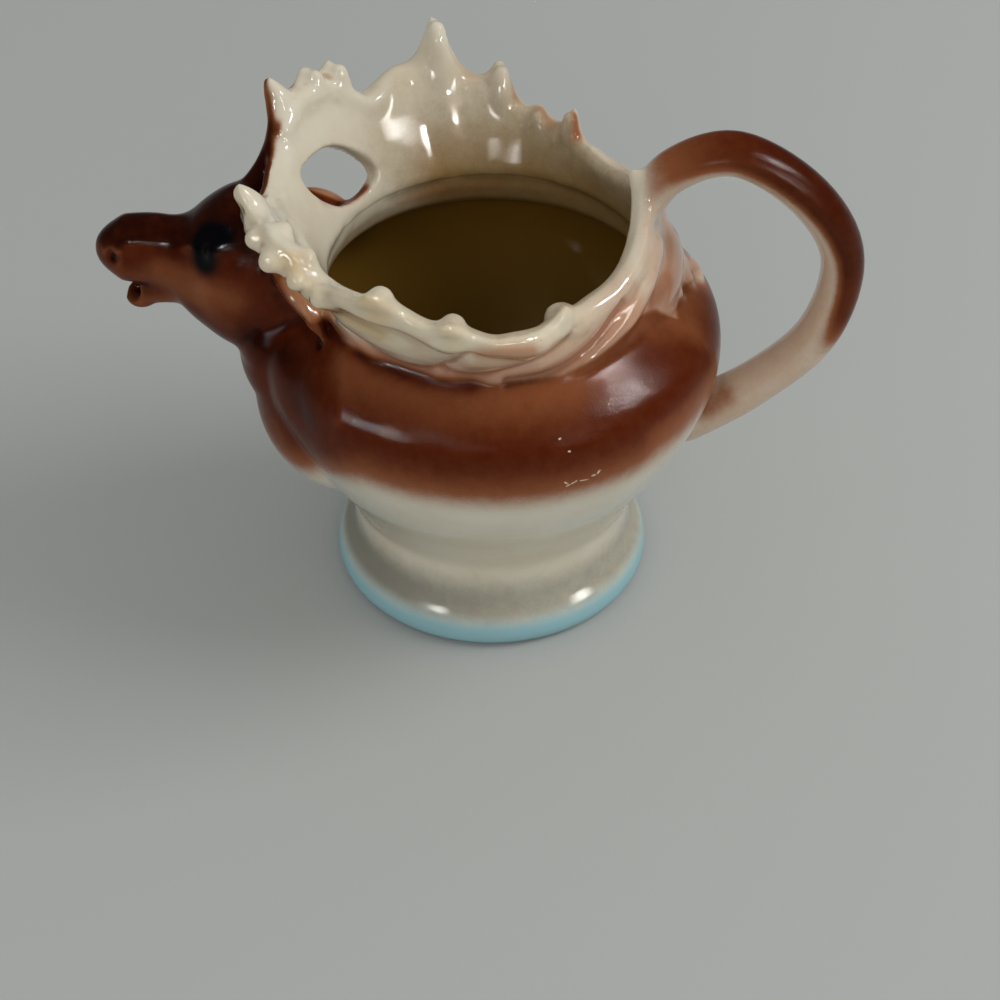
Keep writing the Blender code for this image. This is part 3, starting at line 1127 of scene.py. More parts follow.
@dataclass
class Head(SubAssembly):
    """Elk's head with neck and chest, and the pouring hole in the jaw.

    Attributes:
        snout: X of the tip of the snout.
        length: distance from the snout to the skull.
        middle: height of the middle of the snout.
    """

    name: str = "head"
    slot: Slot = Slot.BROWN
    snout: float = -72.4
    length: float = 26.4
    middle: float = 67.7

    def station(self, share: float) -> tuple[float, float, float, float]:
        """Size of the head at a share of its length.

        Args:
            share: 0 at the snout, 1 at the skull.

        Returns:
            X, height of the middle, half height and half width.
        """
        nose = min(1.0, share / 0.2 + 0.004) ** 0.46
        swell = float(smoothstep(0.42, 1.06, share))
        tall = 6.7 * nose * (0.9 + 0.1 * float(smoothstep(0.1, 0.4, share)))
        tall += 8.4 * swell - 4.5 * float(smoothstep(0.95, 1.5, share))
        wide = 5.7 * nose + 7.3 * swell
        drop = 3.4 * float(smoothstep(0.42, 0.7, share))
        brow = 0.85 * float(smoothstep(0.48, 0.8, share))
        return self.snout + self.length * share, self.middle - drop + brow, tall + brow, wide

    def build(self, shop: Workshop) -> list[bpy.types.Object]:
        """Lays up skull, jaw, neck, chest and eyes.

        Args:
            shop: workshop it is made in.

        Returns:
            The lumps.
        """
        sections, count, end = 45, 44, 1.7
        rings = []
        for i in range(sections + 1):
            x, z, tall, wide = self.station(end * (i / sections) ** 1.25)
            ring = []
            for k in range(count):
                a = 2.0 * math.pi * k / count
                c, s = math.cos(a), math.sin(a)
                y = math.copysign(abs(c) ** 0.9, c) * wide
                ring.append(Vector((x, y, z + math.copysign(abs(s) ** 0.95, s) * tall)))
            rings.append(ring)
        jaw = spline(((-64.6, 0.0, 57.7), (-61.5, 0.0, 59.5), (-57.0, 0.0, 61.2), (-52.0, 0.0, 61.6)), 6)
        shares = [i / (len(jaw) - 1) for i in range(len(jaw))]
        size = [(2.35 + 3.6 * share**1.3, 2.9 + 3.8 * share**1.2) for share in shares]
        lumps = [
            shop.lump(self.name, loft(rings)),
            shop.lump("jaw", tube(jaw, size)),
            shop.lump("lip", ball((-64.8, 0.0, 57.5), (3.3, 3.3, 2.6))),
            shop.lump("chest", ball((-25.2, 0.0, 41.6), (19.2, 26.0, 20.0))),
            shop.lump("breast", ball((-31.4, 0.0, 49.0), (15.6, 19.0, 14.0))),
            shop.lump("cheek", ball((-57.0, 0.0, 62.6), (6.4, 5.6, 5.0))),
            shop.lump("throat", ball((-38.5, 0.0, 55.0), (7.6, 15.5, 10.0), 40.0)),
        ]
        for hand in Hand:
            lumps.append(shop.lump("eye", ball((-47.0, hand.value * 9.3, 74.0), (3.2, 1.8, 2.5))))
        return lumps

    def strokes(self) -> list[Stroke]:
        """Nostrils, bridge of the nose, brows, and the hollow behind the chest.

        Returns:
            The tool marks.
        """
        nose = ((-70.2, -4.6, 69.6), (-69.0, -5.4, 71.0), (-67.4, -5.8, 70.6))
        bridge = ((-65.0, -5.2, 72.3), (-61.0, -5.5, 72.6), (-56.5, -6.0, 73.0), (-52.6, -6.9, 73.6))
        brow = ((-51.0, -8.4, 76.6), (-47.6, -9.4, 77.6), (-44.4, -10.4, 76.4))
        shoulder = ((-23.5, -24.5, 64.5), (-22.6, -29.0, 61.4), (-22.8, -33.0, 57.0))
        under_ear = ((-37.5, -13.0, 67.6), (-32.6, -17.0, 65.4), (-29.4, -20.4, 63.2))
        return mirrored(
            [
                Stroke(((-68.6, -5.3, 68.9),), 1.1, -0.9),
                Stroke(nose, 0.9, 0.45),
                Stroke(bridge, 1.2, 0.5),
                Stroke(brow, 1.3, 0.4),
                Stroke(((-34.0, -22.0, 59.0), (-31.5, -26.0, 53.0)), 5.5, -1.1),
                Stroke(shoulder, 2.4, 0.9),
                Stroke(under_ear, 1.3, -0.5),
            ]
        )

    def channel(self, shop: Workshop) -> bpy.types.Object:
        """Pouring channel from the jaw to the bowl.

        Args:
            shop: workshop it is made in.

        Returns:
            The cutting lump.
        """
        marks = (
            (-70.0, -1.0, 59.8),
            (-66.6, -0.4, 58.9),
            (-54.4, 0.0, 59.8),
            (-48.0, 0.0, 57.0),
            (-35.0, 0.0, 54.0),
        )
        path = spline(marks, 5)
        last = len(path) - 1
        size = [1.2 + 3.4 * float(smoothstep(0.4, 0.95, i / last)) for i in range(last + 1)]
        made = shop.lump("channel", tube(path, [(s, s * 1.25) for s in size]))
        scoop = shop.lump("scoop", ball((-66.4, -2.4, 59.0), (1.7, 1.9, 1.7)))
        shop.cut(made, scoop, "UNION")
        return made

    def region(self, shop: Workshop) -> bpy.types.Object:
        """Everything in front of the wall of the jug.

        Args:
            shop: workshop it is made in.

        Returns:
            The space.
        """
        space = shop.lump("head_space", block((-90.0, -31.0, 19.0), (-17.0, 31.0, 100.0)))
        shop.cut(space, Bowl().core(shop, 1.0, 2.6, 4.4))
        return space


@dataclass
class Ear(SubAssembly):
    """Leaf-shaped ear laid back under the antler."""

    name: str = "left_ear"
    slot: Slot = Slot.BROWN
    hand: Hand = Hand.LEFT

    def path(self) -> list[Vector]:
        """Middle of the leaf, root to tip.

        Returns:
            The run.
        """
        side = -self.hand.value
        marks = (
            (-38.2, -11.2, 72.9),
            (-35.6, -13.2, 71.6),
            (-32.6, -15.9, 69.6),
            (-29.8, -18.4, 66.8),
            (-27.9, -20.6, 63.6),
        )
        return spline([(x, y * side, z) for x, y, z in marks], 5)

    def build(self, shop: Workshop) -> list[bpy.types.Object]:
        """Lays up the leaf.

        Args:
            shop: workshop it is made in.

        Returns:
            The lumps.
        """
        return [shop.lump(self.name, self.leaf(2.7, 1.6))]

    def leaf(self, thick: float, wide: float, more: float = 0.0) -> bmesh.types.BMesh:
        """Leaf along the path.

        Args:
            thick: half thickness in its middle.
            wide: half width in its middle.
            more: what is added all round.

        Returns:
            The lump.
        """
        path = self.path()
        size = []
        for i in range(len(path)):
            share = i / (len(path) - 1)
            body = max(0.12, math.sin(math.pi * (0.12 + 0.86 * share)) ** 0.7)
            size.append((thick * body + more, wide * body + more))
        return tube(path, size, Vector((0.35, self.hand.value * 0.2, 1.0)))

    def strokes(self) -> list[Stroke]:
        """Hollow of the leaf.

        Returns:
            The tool marks.
        """
        out = []
        for point in self.path():
            away = Vector((point.x, point.y, 0.0)).normalized()
            out.append(tuple(point + away * 2.3 + Vector((0.0, 0.0, 0.6))))
        return [Stroke(tuple(out[1:-5]), 0.9, -0.7)]

    def region(self, shop: Workshop) -> bpy.types.Object:
        """Leaf a little larger than the ear.

        Args:
            shop: workshop it is made in.

        Returns:
            The space.
        """
        return shop.lump("ear_space", self.leaf(3.0, 1.7, 0.5))


@dataclass
class Handle(SubAssembly):
    """Ring handle with a web of fingers at its upper root.

    Attributes:
        centre: X and height of the middle of the ring.
        fingers: paths of the fingers, root to tip.
    """

    name: str = "handle"
    slot: Slot = Slot.BROWN
    centre: tuple[float, float] = (45.0, 66.0)
    fingers: tuple[Path, ...] = (
        ((27.8, -2.0, 75.0), (29.0, -5.0, 71.0), (29.4, -8.0, 67.0), (29.2, -9.0, 65.0)),
        ((28.2, -0.6, 74.6), (31.0, -1.2, 69.8), (33.4, -1.9, 65.4), (34.4, -2.0, 63.8)),
        ((28.2, 1.5, 74.6), (32.2, 5.0, 69.0), (36.6, 8.6, 62.4), (38.2, 10.0, 59.8)),
        ((27.6, 2.0, 74.6), (29.4, 5.6, 70.0), (30.4, 9.4, 65.4), (30.2, 10.6, 64.0)),
        ((28.2, 0.5, 74.6), (31.8, 1.9, 69.4), (35.2, 3.4, 64.4), (36.2, 4.0, 62.8)),
        ((28.0, -1.3, 74.8), (30.2, -3.1, 70.4), (31.8, -5.0, 66.6), (32.2, -5.6, 65.2)),
    )

    def path(self) -> list[Vector]:
        """Middle of the handle, collar to bowl.

        Returns:
            The run.
        """
        return spline(
            (
                (29.4, 0.0, 67.0),
                (28.2, 0.0, 73.3),
                (26.8, 0.0, 80.2),
                (31.7, 0.0, 89.1),
                (42.9, 0.0, 93.2),
                (56.0, 0.0, 85.0),
                (62.8, 0.0, 72.2),
                (59.6, 0.0, 55.6),
                (48.8, 0.0, 43.2),
                (36.5, 0.0, 34.3),
            ),
            7,
        )

    def outer_side(self, places: np.ndarray, chosen: np.ndarray) -> np.ndarray:
        """How far places lie to the outer side of the middle of the ring.

        Args:
            places: places in millimetres, one to a row.
            chosen: which of them are looked at.

        Returns:
            The distances, 0 for the others.
        """
        path = np.array([(p.x, p.z) for p in spline(self.path(), 6)])
        out = np.zeros(len(places))
        flat = places[chosen][:, (0, 2)]
        if len(flat):
            nearest = np.argmin(np.linalg.norm(flat[:, None, :] - path[None], axis=2), axis=1)
            away = path - np.array(self.centre)
            away /= np.linalg.norm(away, axis=1)[:, None]
            out[chosen] = np.sum((flat - path[nearest]) * away[nearest], axis=1)
        return out

    def build(self, shop: Workshop) -> list[bpy.types.Object]:
        """Lays up the ring and its root.

        Args:
            shop: workshop it is made in.

        Returns:
            The lumps.
        """
        path = self.path()
        size = []
        for i in range(len(path)):
            share = i / (len(path) - 1)
            slim = 0.8 + 0.2 * float(smoothstep(0.0, 0.3, share))
            stout = 0.35 * float(smoothstep(0.4, 0.6, share)) + 0.8 * float(smoothstep(0.85, 1.0, share))
            size.append((3.6 * slim + stout, 4.9 * slim))
        lumps = [
            shop.lump(self.name, tube(path, size)),
            shop.lump("skirt", ball((28.4, 1.0, 68.0), (6.4, 12.4, 8.8))),
        ]
        for marks in self.fingers:
            run = spline(marks, 5)
            lumps.append(shop.lump("finger", tube(run, tapered(run, 2.6, 1.7, wide=1.1))))
        shoulder = ((12.0, 12.0), (24.0, 8.0), (38.0, 4.0), (52.0, 1.4), (64.0, -0.6))
        for hand in Hand:
            run = spline(on_antler(hand, shoulder, 1.5), 4)
            lumps.append(shop.lump("shoulder", tube(run, tapered(run, 2.8, 1.4, flat=0.8), UP)))
        return lumps

    def region(self, shop: Workshop) -> bpy.types.Object:
        """Everything behind the wall of the jug.

        Args:
            shop: workshop it is made in.

        Returns:
            The space.
        """
        space = shop.lump("handle_space", block((22.0, -15.0, 24.0), (90.0, 15.0, 110.0)))
        shop.cut(space, Bowl().core(shop, 1.0, 1.0, 1.0))
        return space


def vectors(items: bpy.types.bpy_prop_collection, name: str) -> np.ndarray:
    """Places or directions that a mesh holds.

    Args:
        items: vertices or normals of the mesh.
        name: property that is read.

    Returns:
        The vectors, one to a row.
    """
    out = np.empty(len(items) * 3)
    items.foreach_get(name, out)
    return out.reshape(-1, 3)


Memory = tuple[KDTree, np.ndarray, np.ndarray]


@dataclass
class Casting:
    """The jug as it comes out of the mould, in one, before it is parted into named pieces.

    Attributes:
        shop: workshop it is made in.
        parts: sub-assemblies, in the order that they are parted from it.
        trees: search trees of the lumps, with the corners of their boxes.
        body: the fused skin.
    """

    shop: Workshop
    parts: Sequence[SubAssembly]
    trees: list[tuple[BVHTree, np.ndarray, np.ndarray]] = field(default_factory=list)
    body: bpy.types.Object | None = None

    def fuse(self) -> None:
        """Lays up every lump and fuses them."""
        core = Bowl().core(self.shop)
        lumps: list[bpy.types.Object] = []
        channel = None
        for part in self.parts:
            made = part.build(self.shop)
            if isinstance(part, (Head, Ear, Handle)):
                for item in made:
                    self.shop.cut(item, core)
            if isinstance(part, Head):
                channel = part.channel(self.shop)
            whole = made
            if not isinstance(part, (Head, Handle)):
                whole = [self.shop.joined(part.name + "_whole", made)]
            if isinstance(part, Antler):
                # The edge roll and the burr are softened where they meet the palm.
                whole += made[1:3]
            self.trees += [self.tree(item) for item in whole]
            lumps += made
        self.body = self.shop.joined("casting", lumps)
        self.remesh(VOXEL)
        self.shop.cut(self.body, channel)
        self.remesh(VOXEL)

    def tree(self, item: bpy.types.Object) -> tuple[BVHTree, np.ndarray, np.ndarray]:
        """Search tree of a lump's surface.

        Args:
            item: the lump.

        Returns:
            The tree and the corners of its box.
        """
        bm = bmesh.new()
        bm.from_mesh(item.data)
        made = BVHTree.FromBMesh(bm)
        corners = np.array([tuple(v.co) for v in bm.verts])
        bm.free()
        return made, corners.min(axis=0), corners.max(axis=0)

    def remesh(self, size: float) -> None:
        """Fuses the casting into one even skin.

        Args:
            size: size of its grain.
        """
        step = self.body.modifiers.new("Fuse", "REMESH")
        step.mode = "VOXEL"
        step.voxel_size = size
        step.use_smooth_shade = True
        self.shop.settle(self.body)

    def places(self) -> np.ndarray:
        """Vertices of the casting, one to a row."""
        return vectors(self.body.data.vertices, "co")

    def group(self, name: str, weight: np.ndarray) -> None:
        """Gives the skin a vertex group.

        Args:
            name: name of the group.
            weight: weight of each vertex.
        """
        levels = 20
        group = self.body.vertex_groups.new(name=name)
        steps = np.round(weight * levels).astype(int)
        for level in range(1, levels + 1):
            chosen = np.flatnonzero(steps == level)
            if len(chosen):
                group.add(chosen.tolist(), level / levels, "REPLACE")

    def soften(self) -> None:
        """Rounds the whole skin a little, the joins more, and the handle's web and the waist most."""
        places = self.places()
        reach, far = 4.2, 9.0
        gaps = np.full((2, len(places)), far)
        for tree, low, high in self.trees:
            near = np.all((places > low - reach) & (places < high + reach), axis=1)
            for i in np.flatnonzero(near):
                gap = tree.find_nearest(places[i], reach)[3]
                if gap is not None and gap < gaps[1, i]:
                    gaps[1, i] = max(gap, gaps[0, i])
                    gaps[0, i] = min(gap, gaps[0, i])
        weight = 1.0 - smoothstep(0.6, 4.0, gaps[1])
        x, y, z = places.T
        angle = np.degrees(np.arctan2(np.abs(y), x))
        tips = smoothstep(-1.0, 1.0, z - POT.rim_z - COLLAR.palm_rise(angle)) * (x < 24.0)
        weight *= 1.0 - 0.8 * tips
        weight = np.maximum(weight, smoothstep(9.0, 13.0, z) * smoothstep(60.0, 52.0, z))
        for hand in Hand:
            weight = np.maximum(weight, Stroke(on_antler(hand, HEM[:5]), 2.0, 1.0).reach(places))
        self.group("joins", weight)
        web = smoothstep(24.5, 27.5, x) * smoothstep(43.0, 40.0, x) * smoothstep(13.0, 10.0, np.abs(y))
        web = web * smoothstep(64.0, 67.5, z) * smoothstep(82.0, 77.0, z)
        web = web * smoothstep(1.0, 2.5, beyond_wall(places))
        waist = smoothstep(10.0, 12.5, z) * smoothstep(26.0, 21.0, z)
        self.group("web", np.maximum(web, waist))
        for rounds, name in ((4, ""), (22, "joins"), (60, "web"), (2, "")):
            step = self.body.modifiers.new("Soften", "SMOOTH")
            step.factor = 0.5
            step.iterations = rounds
            step.vertex_group = name
        self.shop.settle(self.body)

    def tool(self) -> None:
        """Works the tool marks of every sub-assembly into the skin."""
        places = self.places()
        normals = vectors(self.body.data.vertex_normals, "vector")
        shift = np.zeros(len(places))
        for part in self.parts:
            for stroke in part.strokes():
                room = stroke.extent() + 2.6 * stroke.width
                near = np.all(np.abs(places - stroke.middle()) < room, axis=1)
                shift[near] += stroke.reach(places[near]) * stroke.height
        shift *= smoothstep(-0.4, 0.4, beyond_wall(places))
        moved = places + normals * shift[:, None]
        self.body.data.vertices.foreach_set("co", moved.ravel())
        self.body.data.update()

    def memory(self) -> Memory:
        """Keeps the skin's places, normals and hollows before it is parted.

        Returns:
            Search tree of the places, the normals, and how hollow each place is.
        """
        mesh = self.body.data
        places = self.places()
        normals = vectors(mesh.vertex_normals, "vector")
        ends = np.empty(len(mesh.edges) * 2, dtype=np.int32)
        mesh.edges.foreach_get("vertices", ends)
        a, b = ends.reshape(-1, 2).T
        along = places[b] - places[a]
        square = np.maximum(1e-6, np.sum(along * along, axis=1))
        bend = np.sum((normals[a] - normals[b]) * along, axis=1) / square
        count = np.bincount(a, minlength=len(places)) + np.bincount(b, minlength=len(places))
        hollow = np.bincount(a, bend, len(places)) + np.bincount(b, bend, len(places))
        hollow /= np.maximum(1, count)
        for _ in range(6):
            spread = np.bincount(a, hollow[b], len(places)) + np.bincount(b, hollow[a], len(places))
            hollow = 0.5 * hollow + 0.5 * spread / np.maximum(1, count)
        tree = KDTree(len(places))
        for i, place in enumerate(places):
            tree.insert(place, i)
        tree.balance()
        return tree, normals, hollow

    def part(self) -> dict[str, bpy.types.Object]:
        """Parts the casting into its named pieces.

        Returns:
            The pieces by name.
        """
        pieces = {}
        for part in self.parts:
            space = part.region(self.shop)
            if space is not None:
                piece = self.shop.joined(part.name, [self.body])
                self.shop.cut(piece, space, "INTERSECT")
                self.shop.cut(self.body, space)
                pieces[part.name] = piece
        pieces[Bowl.name] = self.body
        return pieces

    def finish(
        self, name: str, item: bpy.types.Object, brush: "Airbrush", past: Memory
    ) -> bpy.types.Object:
        """Moves a parted piece to its place in the frame, with the skin's own normals and coats.

        Args:
            name: name of the piece.
            item: the parted lump.
            brush: airbrush that lays the coats.
            past: what was kept of the skin.

        Returns:
            The finished piece.
        """
        count = sum(len(face.vertices) - 2 for face in item.data.polygons)
        if count > LIMIT:
            step = item.modifiers.new("Thin", "DECIMATE")
            step.ratio = LIMIT / count
            self.shop.settle(item)
        tree, normals, hollow = past
        mesh = item.data.copy()
        mesh.name = name
        places = vectors(mesh.vertices, "co")
        found = [tree.find_n(place, 3) for place in places]
        kin = np.array([[hit[1] for hit in hits] for hits in found])
        share = 1.0 / (np.array([[hit[2] for hit in hits] for hits in found]) + 1e-3)
        share /= share.sum(axis=1)[:, None]
        facing = np.sum(normals[kin] * share[..., None], axis=1)
        facing /= np.linalg.norm(facing, axis=1)[:, None]
        coats = brush.lay(places, facing, np.sum(hollow[kin] * share, axis=1))
        for coat, amount in coats.items():
            layer = mesh.attributes.new(coat.value, "FLOAT", "POINT")
            layer.data.foreach_set("value", amount.astype(np.float32))
        mesh.transform(Matrix.Translation((self.shop.axis, 0.0, 0.0)) @ Matrix.Scale(MM, 4))
        mesh.polygons.foreach_set("use_smooth", np.ones(len(mesh.polygons), dtype=bool))
        mesh.normals_split_custom_set_from_vertices(facing.tolist())
        piece = bpy.data.objects.new(name, mesh)
        bpy.context.scene.collection.objects.link(piece)
        return piece


@dataclass(frozen=True)
class Spray(Stroke):
    """Pass of the airbrush; some passes lay painted shade.  Its height is the strength of the coat.

    Attributes:
        coat: coat that is sprayed.
    """

    coat: Coat = Coat.BROWN


@dataclass(frozen=True)
class Airbrush:
    """Lays glaze coats, painted shade and light over the whole jug, by place, so that they run on over the
    seams.

    Attributes:
        sprays: single passes, over the broad coats.
    """

    sprays: tuple[Spray, ...] = ()

    def crease(self, angle: np.ndarray) -> np.ndarray:
        """Height above the rim where the brown stops below the antlers.

        Args:
            angle: degrees from the handle.

        Returns:
            The height.
        """
        marks = (0.0, 6.0, 13.0, 20.0, 26.0, 32.0, 40.0, 53.0, 63.0, 141.0, 150.0, 158.0, 166.0, 180.0)
        heights = (-1.5, -1.0, -2.4, 1.5, 2.8, 4.6, 3.8, 1.6, 0.0, 0.0, 2.0, 6.5, 13.0, 26.0)
        return np.interp(angle, marks, heights)

    def lay(self, places: np.ndarray, normals: np.ndarray, hollow: np.ndarray) -> dict[Coat, np.ndarray]:
        """Coats at places on the skin.

        Args:
            places: places in millimetres, one to a row.
            normals: the skin's directions there.
            hollow: how hollow the skin is there.

        Returns:
            Strength of each coat.
        """
        x, y, z = places.T
        radius = np.hypot(x, y)
        angle = np.degrees(np.arctan2(np.abs(y), x))
        rise = z - POT.rim_z - COLLAR.seat
        facing = np.sum(normals[:, :2] * places[:, :2], axis=1) / np.maximum(1.0, radius)
        gap = beyond_wall(places) + 1.4 * facing
        outside = smoothstep(-0.6, 0.6, gap)
        inside = 1.0 - outside
        front = np.minimum(angle, 168.0 + 0.5 * (angle - 168.0))
        above = rise - self.crease(np.where(y > 0.0, angle, front))

        # Handle: its share of the skin, the turn round its ring, and its brown outer arc.
        ring = np.degrees(np.arctan2(z - Handle.centre[1], x - Handle.centre[0]))
        handle = smoothstep(2.4, 4.2, gap) * smoothstep(28.0, 32.0, x) * smoothstep(58.0, 54.0, z)
        handle = np.maximum(handle, smoothstep(42.0, 46.0, x) * smoothstep(52.0, 55.0, z))
        handle = np.maximum(handle, smoothstep(25.0, 29.0, x) * smoothstep(70.0, 78.0, z) * outside)
        arc = smoothstep(-48.0, 0.0, ring) * (1.0 - smoothstep(80.0, 150.0, ring))
        arc = arc * smoothstep(-2.4, 1.4, Handle().outer_side(places, handle > 0.0))
        grip = handle * smoothstep(0.0, 25.0, ring) * (1.0 - smoothstep(70.0, 105.0, ring))

        # Brown belly, lighter below the antlers, and the brown burr of the far antler.
        foot = 12.0 * smoothstep(-18.0, -36.0, x)
        belly = smoothstep(39.5 - foot, 60.0 - foot, z) * (1.0 - smoothstep(-0.7, 0.8, above))
        belly = belly * (1.0 - 0.48 * smoothstep(-10.0, -1.0, above) * smoothstep(-32.0, -22.0, x))
        brown = outside * (belly * (1.0 - handle) + arc * handle)
        burr = smoothstep(-32.0, -37.0, x) * smoothstep(74.0, 78.0, z) * smoothstep(1.5, 6.0, y)
        burr = burr * smoothstep(148.0, 153.0, angle)
        burr = burr * smoothstep(0.3, -0.6, normals[:, 0]) * (0.9 - 0.45 * smoothstep(82.0, 93.0, z))
        brown = np.maximum(brown, burr)

        # Dark top of the head and of the handle.
        head = smoothstep(-37.0, -42.0, x) * smoothstep(55.0, 60.0, z)
        dark = head * smoothstep(0.22, 0.6, normals[:, 2]) * 0.95
        dark = dark * smoothstep(0.15, 0.7, brown)
        dark = np.maximum(dark, grip * arc * 0.5)

        # Honey brown inside below the rim and up the antlers' inside, more toward the bottom and toward the
        # handle; then the thin coats of antlers, handle and foot.
        honey = smoothstep(70.0, 58.0, z) * smoothstep(1.8, 3.0, z)
        back = 0.9 * smoothstep(92.0, 67.0, z) * smoothstep(152.0, 112.0, angle) * (z > 60.0)
        fold = 7.0 + 7.0 * smoothstep(100.0, 88.0, angle)
        blush = outside * smoothstep(fold, 1.0, above) * smoothstep(-1.0, 0.5, above) * (1.0 - handle)
        thin = 0.06 * inside * smoothstep(67.0, 72.0, z) + 0.52 * handle * (1.0 - arc)
        amber = (0.2 + 0.12 * smoothstep(98.0, 106.0, angle)) * outside * smoothstep(3.0, 9.0, above)
        # Blue-grey low on the foot: partly airbrush, partly painted shade in the concave flare, stronger
        # toward the head, away from the key light.
        grey_and_shade = (0.7 + 0.3 * smoothstep(10.0, -25.0, x)) * smoothstep(17.0, 9.5, z)
        coats = {
            Coat.BROWN: brown,
            Coat.DARK: dark,
            Coat.BLACK: np.zeros(len(x)),
            Coat.BLUSH: np.maximum(blush, thin) + 0.08 * bell(20.0, 6.0, z) * outside,
            Coat.AMBER: amber * smoothstep(45.0, 60.0, angle) * (z > 65.0),
            Coat.GREY_AND_SHADE: grey_and_shade * smoothstep(4.0, 7.5, z) * outside,
            Coat.DEEP: inside * np.maximum(honey, back),
            Coat.BLUE: smoothstep(7.4, 4.0, z) * smoothstep(24.0, 26.0, radius),
            # Painted shade in the hollows, and lighter brown on the ridges, by how hollow the skin is.
            Coat.RELIEF_SHADE: np.clip(hollow * 2.6, -1.0, 1.0) * np.maximum(outside, smoothstep(70.0, 73.0, z)),
        }
        for spray in self.sprays:
            room = spray.extent() + 3.0 * spray.width
            near = np.all(np.abs(places - spray.middle()) < room, axis=1)
            if near.any():
                coats[spray.coat][near] += spray.reach(places[near]) * spray.height
        return {coat: np.clip(amount, -1.0, 1.0) for coat, amount in coats.items()}


@dataclass(frozen=True)
class Term:
    """Output of a shader node that takes part in Python arithmetic.

    Attributes:
        graph: graph that it belongs to.
        socket: the output.
    """

    graph: "Graph"
    socket: bpy.types.NodeSocket

    def maths(self, operation: str, *terms: "Term | float") -> "Term":
        """Result of a Math node.

        Args:
            operation: what it does.
            terms: its inputs.

        Returns:
            The result.
        """
        return self.graph.node("ShaderNodeMath", dict(enumerate(terms)), operation=operation)

    def __add__(self, other: "Term | float") -> "Term":
        """Sum."""
        return self.maths("ADD", self, other)

    def __sub__(self, other: "Term | float") -> "Term":
        """Difference."""
        return self.maths("SUBTRACT", self, other)

    def __mul__(self, other: "Term | float") -> "Term":
        """Product."""
        return self.maths("MULTIPLY", self, other)

    def __truediv__(self, other: "Term | float") -> "Term":
        """Quotient."""
        return self.maths("DIVIDE", self, other)

    def __neg__(self) -> "Term":
        """Opposite."""
        return self.maths("MULTIPLY", self, -1.0)

    def __radd__(self, other: float) -> "Term":
        """Sum with a number before it."""
        return self.maths("ADD", other, self)

    def __rsub__(self, other: float) -> "Term":
        """Difference from a number before it."""
        return self.maths("SUBTRACT", other, self)

    def __rmul__(self, other: float) -> "Term":
        """Product with a number before it."""
        return self.maths("MULTIPLY", other, self)

    def __rtruediv__(self, other: float) -> "Term":
        """Quotient of a number before it."""
        return self.maths("DIVIDE", other, self)

    def ease(self, low: float, high: float) -> "Term":
        """Eases from 0 at low to 1 at high.

        Args:
            low: where the rise starts.
            high: where the rise ends.

        Returns:
            The eased share.
        """
        inputs = {"Value": self, "From Min": low, "From Max": high, "To Min": 0.0, "To Max": 1.0}
        return self.graph.node("ShaderNodeMapRange", inputs, interpolation_type="SMOOTHSTEP", clamp=True)

    def clamp(self) -> "Term":
        """Holds to the range 0 to 1."""
        return self.graph.node("ShaderNodeClamp", {"Value": self})


def opaque(colour: "Term | Colour") -> "Term | tuple[float, float, float, float]":
    """Colour as an input takes it, with its alpha."""
    return colour if isinstance(colour, Term) else (*colour, 1.0)


@dataclass
class Graph:
    """Node tree of one material.

    Attributes:
        tree: the tree.
    """

    tree: bpy.types.NodeTree

    def node(
        self, kind: str, inputs: dict | None = None, output: int | str = 0, **settings: object
    ) -> Term:
        """Adds any node.

        Args:
            kind: its type.
            inputs: values or terms by input.
            output: the output that is handed back.
            settings: its properties.

        Returns:
            The output.
        """
        made = self.tree.nodes.new(kind)
        for key, value in settings.items():
            setattr(made, key, value)
        for key, value in (inputs or {}).items():
            if isinstance(value, Term):
                self.tree.links.new(value.socket, made.inputs[key])
            else:
                made.inputs[key].default_value = value
        return Term(self, made.outputs[output])

    def noise(self, place: Term, scale: float, detail: float = 2.0, rough: float = 0.5) -> Term:
        """Noise in object coordinates.

        Args:
            place: the coordinates.
            scale: its scale.
            detail: its detail.
            rough: its roughness.

        Returns:
            The noise, about 0.5.
        """
        inputs = {"Vector": place, "Scale": scale, "Detail": detail, "Roughness": rough}
        return self.node("ShaderNodeTexNoise", inputs, "Fac")

    def blend(
        self, under: Term | Colour, over: Term | Colour, share: Term | float, kind: str = "MIX"
    ) -> Term:
        """One colour laid over another.

        Args:
            under: colour beneath.
            over: colour on top.
            share: strength of the one on top.
            kind: kind of mixing.

        Returns:
            The colour.
        """
        inputs = {0: share, 6: opaque(under), 7: opaque(over)}
        return self.node("ShaderNodeMix", inputs, 2, data_type="RGBA", blend_type=kind)

    def scratch(self, place: Term, start: Sequence[float], end: Sequence[float], width: float) -> Term:
        """Thin straight mark on the surface.

        Args:
            place: object coordinates.
            start: one end, in metres.
            end: the other end.
            width: half width.

        Returns:
            The strength of the mark.
        """
        along = Vector(end) - Vector(start)
        off = self.node("ShaderNodeVectorMath", {0: place, 1: tuple(start)}, operation="SUBTRACT")
        onto = {0: off, 1: tuple(along / along.length_squared)}
        scaled = self.node("ShaderNodeVectorMath", onto, "Value", operation="DOT_PRODUCT").clamp()
        foot = self.node("ShaderNodeVectorMath", {0: tuple(along), "Scale": scaled}, operation="SCALE")
        gap = self.node("ShaderNodeVectorMath", {0: off, 1: foot}, "Value", operation="DISTANCE")
        return 1.0 - gap.ease(width * 0.5, width)


